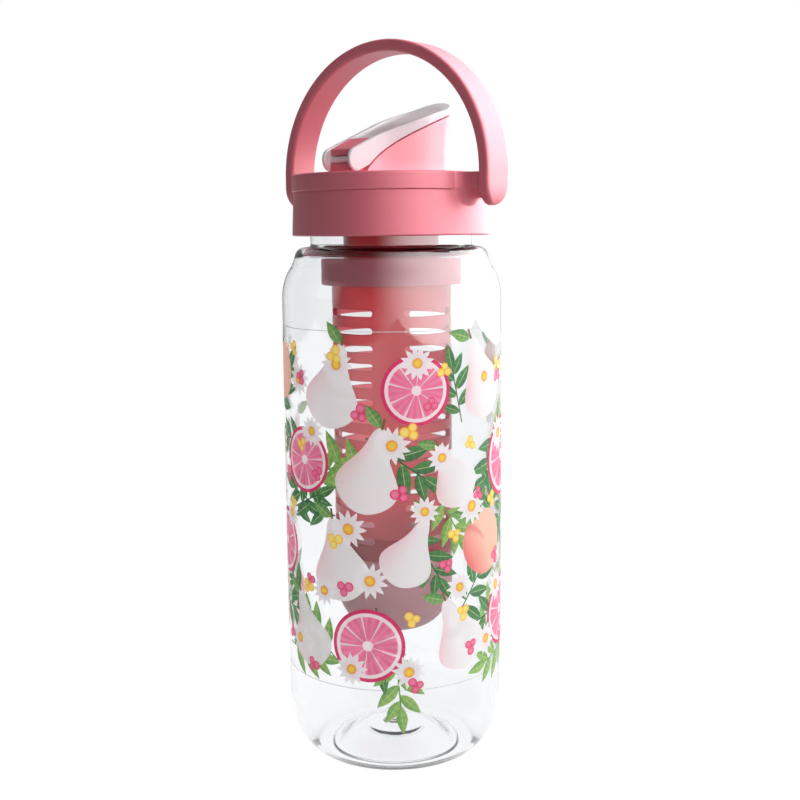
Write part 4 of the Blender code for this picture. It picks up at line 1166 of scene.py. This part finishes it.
def handle_path():
    """Rows of (inner x, inner z, lean, half width): leg tip, arch, leg tip. In a tip the half width is
    5.95 cos a where the path drops by 7.3 sin a."""
    tip = np.radians(90 * (1 - np.linspace(0, 1, 22) ** 1.5))[:, None]
    leg = np.hstack([
        np.full_like(tip, HANDLE_INNER), PIVOT_Z - TIP_DROP * np.sin(tip), 0 * tip, HANDLE_HALF * np.cos(tip)
    ])
    lean = np.linspace(0, math.pi, 97)[:, None]
    arch = np.hstack([
        HANDLE_INNER * np.cos(lean), ARCH_Z + ARCH_RISE * np.sin(lean), lean, np.full_like(lean, HANDLE_HALF)
    ])
    far = leg[::-1] * np.array([-1, 1, 1, 1]) + np.array([0, 0, math.pi, 0])
    return np.vstack([leg, arch, far])


def strap():
    """The strap's grid: at each station of the path stands a section (out, across) of 4 corners, and
    each corner becomes a bowed curve, as in softened()."""
    x, z, lean, half = handle_path().T[:, :, None]
    depth = HANDLE_DEPTH * (0.55 + 0.45 * half / HANDLE_HALF)
    cuts = np.minimum(np.array([STRAP_CUTS]), 0.75 * half)
    out = np.hstack([0 * half, depth, depth, 0 * half])
    across = np.hstack([-half, -half, half, half])
    corner = np.stack([out, across], axis=-1)
    sides = np.stack([np.roll(corner, 1, axis=1), np.roll(corner, -1, axis=1)]) - corner
    sides /= np.maximum(np.linalg.norm(sides, axis=-1, keepdims=True), 1e-9)
    start, end = corner + sides * cuts[..., None]
    t = np.linspace(0, 1, 9)[None, None, :, None]
    section = bowed(start[:, :, None], corner[:, :, None], end[:, :, None], t).reshape(len(x), -1, 2)
    points = np.stack([
        x + section[..., 0] * np.cos(lean), section[..., 1], z + section[..., 0] * np.sin(lean)
    ], axis=-1)
    return facing_out(grid_mesh("strap", points))


peg_spans = [sorted((side * 35.2, side * 42.5)) for side in (1, -1)]
pegs = [("UNION", round_bar(PEG_RADIUS, *span, (0.0, PIVOT_Z), edge=0.5)) for span in peg_spans]
handle_mesh = shaped(strap(), *pegs)
handle_mesh.name = "handle_strap"
finished(handle_mesh, "carry_handle")

# %% [markdown]
# ## The spout and its cover
# The spout is a hollow wedge. Seen from the side, its top edge is the seam with the white cover, a curve
# that starts at the hinge and rises to the drinking tip. The cover follows the same curve from above, so
# both are cut by one line, and 0.3 mm is left between them.

# %% Spout curves
HINGE_Y = -23.6
HINGE_Z = 205.42
NOSE_HALF = 6.15
KNEE_HALF = 9.35
TIP_HALF = 9.1
NOSE_Y = HINGE_Y + 3.8
ARM_END = HINGE_Y + 9.5
KNEE_Y = HINGE_Y + 34.0
WAIST_BACK = 25.5
WAIST_Z = DECK_Z + 9.4
LEAN = 0.146
CHANNEL_Z = DECK_Z + 2.4
CHANNEL_TOP = CHANNEL_Z + 5.2
MOUTH_FRONT = 4.6
MOUTH_BACK = 23.0
MOUTH_HALF = 6.5
ARM_GAP = 4.9
KNUCKLE = 3.8
SADDLE_REACH = 11.0
SEAM_HALF_GAP = 0.15
LIP_RUN = 13.0
LIP_LIFT = 1.4
FOOT_FLARE = 1.6
FLARE_RISE = 5.5
DISH_DEPTH = 1.9
ABOVE_ALL = 245.0


def from_hinge(start, swell, end):
    """A bowed curve whose three points are given from the hinge, in (y, z)."""
    t = np.linspace(0, 1, 60)[:, None]
    return bowed(np.array(start), np.array(swell), np.array(end), t) + np.array([HINGE_Y, HINGE_Z])


seam = from_hinge((3.4, -4.1), (17.5, 9.0), (51.1, 17.7))
rim_slope = math.atan2(13.8 - KNUCKLE, 23.5)
rim_start = (-KNUCKLE * math.sin(rim_slope), KNUCKLE * math.cos(rim_slope))
rim = from_hinge(rim_start, (23.5, 13.8), (51.1, 20.0))
LIP_BACK = WAIST_BACK + LEAN * (HINGE_Z + 17.7 - WAIST_Z) + 0.5


def height_of(line, y):
    """The height of the seam or the rim at y."""
    return np.interp(y, line[:, 0], line[:, 1])


def slot_outline(front, back, half):
    """A long hole's outline in (x, y), round at both ends."""
    ends = ((back - half, 0, 180), (front + half, 180, 360))
    return np.vstack([arc((0, middle), half, half, start, end, 24) for middle, start, end in ends])


def wedge_plan(back, front, grow=0.0):
    """The plan of spout and cover in (x, y). The arms run level; from them to the knee the half width
    swells by s^2 (3 - 2 s) of the difference, and behind the knee the flanks close a little towards the
    round back."""
    share = np.linspace(0.0, 1.0, 24)
    half = NOSE_HALF + (KNEE_HALF - NOSE_HALF) * share ** 2 * (3 - 2 * share)
    flank = np.stack([half, ARM_END + (KNEE_Y - ARM_END) * share], axis=1)
    flank = np.vstack([[(NOSE_HALF - 0.4, front), (NOSE_HALF, front + 0.6)], flank]) + np.array([grow, 0.0])
    end = TIP_HALF + grow
    round_back = arc((0, back - end), end, end, 0, 180, 48)
    return np.vstack([flank, round_back, (flank * (-1, 1))[::-1]])


# %% Spout


def spout_wedge():
    """Level outlines from the deck up: the back leans out above the waist, and the foot flares by
    1.6 (1 - rise / 5.5)^2."""
    rise = np.concatenate([[0.3], FLARE_RISE * np.linspace(0.1, 1, 12), [9.4, 28.0]])
    flare = FOOT_FLARE * np.clip(1 - rise / FLARE_RISE, 0, None) ** 2
    back = WAIST_BACK + flare + LEAN * np.clip(DECK_Z + rise - WAIST_Z, 0, None)
    plans = np.stack([wedge_plan(b, NOSE_Y - 0.3, f / 2) for b, f in zip(back, flare)])
    heights = np.broadcast_to((DECK_Z + rise)[:, None, None], (*plans.shape[:2], 1))
    return stacked("spout_shell", np.concatenate([plans, heights], axis=-1))


def under_seam():
    """Everything below the seam, as a wide block seen from the side."""
    line = seam - np.array([0.0, SEAM_HALF_GAP])
    ends = (HINGE_Y - 13, HINGE_Y + 66)
    outline = [(ends[0], line[0, 1]), *line, (ends[1], line[-1, 1]), (ends[1], 180), (ends[0], 180)]
    return block(outline, -20, 20, "x")


def hinge_saddle():
    """The tongue between the cover's arms, trimmed round the hinge so that the cover can swing."""
    reach = SADDLE_REACH - 0.3
    low = DECK_Z + 0.3
    line = HINGE_Z + 3.2
    outline = [
        (HINGE_Y - 1, low), (HINGE_Y + reach, low), (HINGE_Y + reach, line + 0.44 * (reach + 1)),
        (HINGE_Y - 1, line),
    ]
    swing = round_bar(reach, -13, 13, (HINGE_Y, HINGE_Z), count=96)
    return shaped(block(outline, 0.3 - ARM_GAP, ARM_GAP - 0.3, "x"), ("INTERSECT", swing))


spout = shaped(
    spout_wedge(),
    ("INTERSECT", under_seam()),
    ("UNION", hinge_saddle()),
    ("UNION", round_bar(5.6, PLATE_Z - 2.0, CHANNEL_Z - 1.2, (0, 0), "z", 96)),
    ("DIFFERENCE", round_bar(4.4, PLATE_Z - 4.0, CHANNEL_Z + 2.6, (0, 0), "z", 96)),
    ("DIFFERENCE", block(slot_outline(-4.4, MOUTH_BACK, MOUTH_HALF), CHANNEL_Z, CHANNEL_TOP)),
    ("DIFFERENCE", block(slot_outline(MOUTH_FRONT, MOUTH_BACK, MOUTH_HALF), CHANNEL_Z + 2.6, ABOVE_ALL)),
    ("DIFFERENCE", round_bar(1.5, -13, 13, (HINGE_Y, HINGE_Z))),
)
spout.name = "spout_shell"
finished(softly(spout, 0.27, 3), "spout_body", even=False)

# %% Cover


def finger_dish():
    """The hollow in the cover's top, as a cutter. Along the cover it is 1.9 (1 - s^2) deep, with s from
    -0.5 at the saddle to 1 at the lip. Across the cover this is times sqrt(1 - u^4), with u from -1 to 1."""
    share = np.linspace(0.0, 1.0, 40)[:, None]
    front = HINGE_Y + SADDLE_REACH - KNUCKLE
    y = front + (LIP_BACK - 5.5 - front) * share
    across = np.sin(np.linspace(-math.pi / 2, math.pi / 2, 33))[None, :]
    plan = wedge_plan(LIP_BACK - 5.5, HINGE_Y, -1.4)
    side = plan[: len(plan) // 2]
    half = np.interp(y, side[:, 1], side[:, 0])
    depth = DISH_DEPTH * (1 - ((share - 0.33) / 0.67) ** 2)
    z = height_of(rim, y) - depth * np.sqrt(1 - across ** 4)
    floor = np.stack([half * across, y + 0 * across, z], axis=-1)
    lid = floor[:, ::-1] * np.array([1.0, 1.0, 0.0]) + np.array([0.0, 0.0, ABOVE_ALL])
    return stacked("finger_dish", np.concatenate([floor, lid], axis=1))


def cover_block():
    """The cover seen from the side, knuckle, seam and rim, trimmed by its plan with the round lip."""
    knuckle = arc((HINGE_Y, HINGE_Z), KNUCKLE, KNUCKLE, 120, 305, 40)
    under = (seam + np.array([0.0, SEAM_HALF_GAP]))[seam[:, 0] > HINGE_Y + 1.5 * KNUCKLE]
    side = block(np.vstack([knuckle, under, rim[::-1]]), -12, 12, "x")
    return shaped(side, ("INTERSECT", block(wedge_plan(LIP_BACK, HINGE_Y - 8), 190, ABOVE_ALL)))


def raised_lip(points):
    """Lift the cover's top towards its lip by 1.4 (1 - u^2) s^2 (3 - 2 s): u runs from -1 to 1 across,
    and s from 0 to 1 along the last 13 mm. The lift fades to nothing at the seam."""
    x, y, z = points.T
    share = np.clip((y - LIP_BACK + LIP_RUN) / LIP_RUN, 0, 1)
    low = height_of(seam, y)
    high = height_of(rim, y)
    top = np.clip((z - low) / (high - low), 0, 1)
    lift = LIP_LIFT * np.clip(1 - (x / TIP_HALF) ** 2, 0, None) * share ** 2 * (3 - 2 * share) * top
    return np.stack([x, y, z + lift], axis=1)


def cover_pocket():
    """The room above the saddle, under the cover's roof."""
    ends = np.array([HINGE_Y + SADDLE_REACH - KNUCKLE, MOUTH_FRONT - 5.2])
    roof = height_of(rim, ends) - 3.4
    low = DECK_Z - 3.0
    outline = [(ends[0], low), (ends[1], low), (ends[1], roof[1]), (ends[0], roof[0])]
    return block(outline, 0.05 - ARM_GAP, ARM_GAP - 0.05, "x")


cover = shaped(
    cover_block(),
    ("DIFFERENCE", cover_pocket()),
    ("DIFFERENCE", round_bar(SADDLE_REACH, -ARM_GAP, ARM_GAP, (HINGE_Y, HINGE_Z), count=96)),
    ("DIFFERENCE", finger_dish()),
    ("UNION", round_bar(1.2, -ARM_GAP - 1, ARM_GAP + 1, (HINGE_Y, HINGE_Z))),
)
cover.name = "cover_shell"
finished(bent(softly(cover, 0.24, 7), raised_lip), "flip_cover", even=False)

# %% Plug


def plug_grid():
    """The plug's rows: from the middle of its top out to the rim, down the side, and in to the middle of
    its bottom. Each row is the mouth's outline shrunk by an inset, standing at the seam's height less a
    drop."""
    inset = np.array([6.09, 4.5, 3, 1, 0.3, 0.08, 0, 0, 0.08, 0.3, 1, 3, 4.5, 6.09])
    drop = np.array([0.15, 0.15, 0.15, 0.15, 0.15, 0.22, 0.45, 1.8, 2.1, 2.2, 2.2, 2.2, 2.2, 2.2])
    rows = [slot_outline(MOUTH_FRONT + 0.4 + d, MOUTH_BACK - 0.4 - d, MOUTH_HALF - 0.4 - d) for d in inset]
    outline = np.stack(rows)
    z = height_of(seam, outline[..., 1]) - drop[:, None]
    points = np.concatenate([outline, z[..., None]], axis=-1)
    middle = points[[0, -1]].copy()
    middle[..., 0] = 0.0
    return facing_out(grid_mesh("mouth_plug", np.concatenate([middle[:1], points, middle[1:]])))


finished(plug_grid(), "cover_seal_plug")

# %% [markdown]
# ## The stage
# The object stands on a pale floor in soft light. Two lamps on the right make the pale side, one above
# lights the lid and the cover's hollow, and a weak one on the left keeps the shaded side from going
# black. A lamp's square would show in the clear wall, so gloss doesn't see the first three: it sees the
# world, where a softbox with a soft edge glows strongly on the right.

# %% Floor, lamps and world


def add_floor():
    """A floor that glows white where it is looked at and keeps a faint shadow, which fades out between
    100 and 350 mm from the axis. For the light that it reflects it is plain and pale."""
    finish = Finish("pale_floor")
    finish.set(Base_Color=(0.5, 0.5, 0.5), Roughness=0.9)
    shade = finish.node("BsdfDiffuse", {0: (0.35, 0.35, 0.35)})
    glow = finish.node("Emission", {0: (1.0, 1.0, 1.0), 1: 0.9})
    white = finish.node("Emission", {0: (1.0, 1.0, 1.0), 1: 1.0})
    near = finish.node("AddShader", {0: shade, 1: glow})
    away = finish.node("VectorMath", {0: finish.place()}, 1, operation="LENGTH")
    pale = finish.node("MixShader", {0: (4.0 * away - 0.4).clip(), 1: near, 2: white})
    camera, glossy, clear = finish.rays("Camera", "Glossy", "Transmission")
    finish.show(camera + glossy + clear, finish.shown, pale)
    side = 1.5
    mesh = bpy.data.meshes.new("floor")
    corners = np.array([(-side, -side, 0.0), (side, -side, 0.0), (side, side, 0.0), (-side, side, 0.0)])
    mesh.from_pydata(corners, [], [(0, 1, 2, 3)])
    mesh.materials.append(finish.material)
    floor = linked("floor", mesh)


def add_lamp(name, azimuth, height, distance, size, power):
    """A soft square lamp that looks at the middle of the bottle."""
    data = bpy.data.lights.new(name, "AREA")
    data.shape = "RECTANGLE"
    data.size, data.size_y = size
    data.energy = power
    lamp = linked(name, data)
    angle = math.radians(azimuth)
    lamp.location = (distance * math.sin(angle), -distance * math.cos(angle), height)
    aim = Vector((0.0, 0.0, 0.12)) - lamp.location
    lamp.rotation_euler = aim.to_track_quat("-Z", "Y").to_euler()
    return lamp


def set_world(lighting, room, glow):
    """White to the camera, and white at the back through clear plastic. The room in front and to the left
    is dim, and in gloss a wide softbox glows on the right without an edge. Any other ray gets an even
    soft grey."""
    world = bpy.data.worlds.new("studio")
    bpy.context.scene.world = world
    world.use_nodes = True
    sky = Nodes(world.node_tree)
    view = sky.node("TexCoord", output="Generated")
    camera, glossy, clear = sky.rays("Camera", "Glossy", "Transmission")

    def ramp(value, low, high, start, end, kind="SMOOTHSTEP"):
        feeds = dict(enumerate((value, low, high, start, end)))
        return sky.node("MapRange", feeds, interpolation_type=kind)

    def toward(azimuth, rise):
        angle = VIEW_AZIMUTH + math.radians(azimuth)
        way = (math.sin(angle), -math.cos(angle), rise)
        return sky.node("VectorMath", {0: view, 1: way}, 1, operation="DOT_PRODUCT")

    def front(back, dimmed):
        return ramp(toward(-35, 0.15), -0.25, 0.35, back, dimmed)

    gloss = front(0.3, room) + ramp(toward(75, 0.10), -0.15, 0.90, 0.0, glow)
    level = ramp(glossy, 0.0, 1.0, lighting, gloss, "LINEAR")
    level = ramp(clear, 0.0, 1.0, level, front(1.0, 5.0 * room), "LINEAR")
    level = ramp(camera, 0.0, 1.0, level, 1.0, "LINEAR")
    background = sky.tree.nodes["Background"]
    sky.feed(background.inputs["Strength"], level)
    background.inputs["Color"].default_value = (1.0, 1.0, 1.0, 1.0)


add_floor()
HIDDEN_LAMPS = [
    ("right_softbox", 132, 0.18, 0.8, (1.1, 0.9), 3.6),
    ("key_panel", 82, 0.22, 0.9, (0.5, 0.5), 1.8),
    ("top_panel", 130, 0.95, 0.08, (0.5, 0.5), 2.2),
]
for row in HIDDEN_LAMPS:
    lamp = add_lamp(*row)
    lamp.visible_glossy = False
    lamp.visible_transmission = False
add_lamp("left_fill", -30, 0.5, 1.2, (0.6, 0.6), 0.5)
set_world(0.10, 0.04, 9.5)
bpy.context.scene.view_settings.view_transform = "Standard"

# %% [markdown]
# ## Finish
# CAD nodes that are still shown get their plastic.

# %% Materials of the CAD nodes
for node, item in frame["nodes"].items():
    item.data.materials.clear()
    item.data.materials.append(finishes[SLOT_OF[node]])
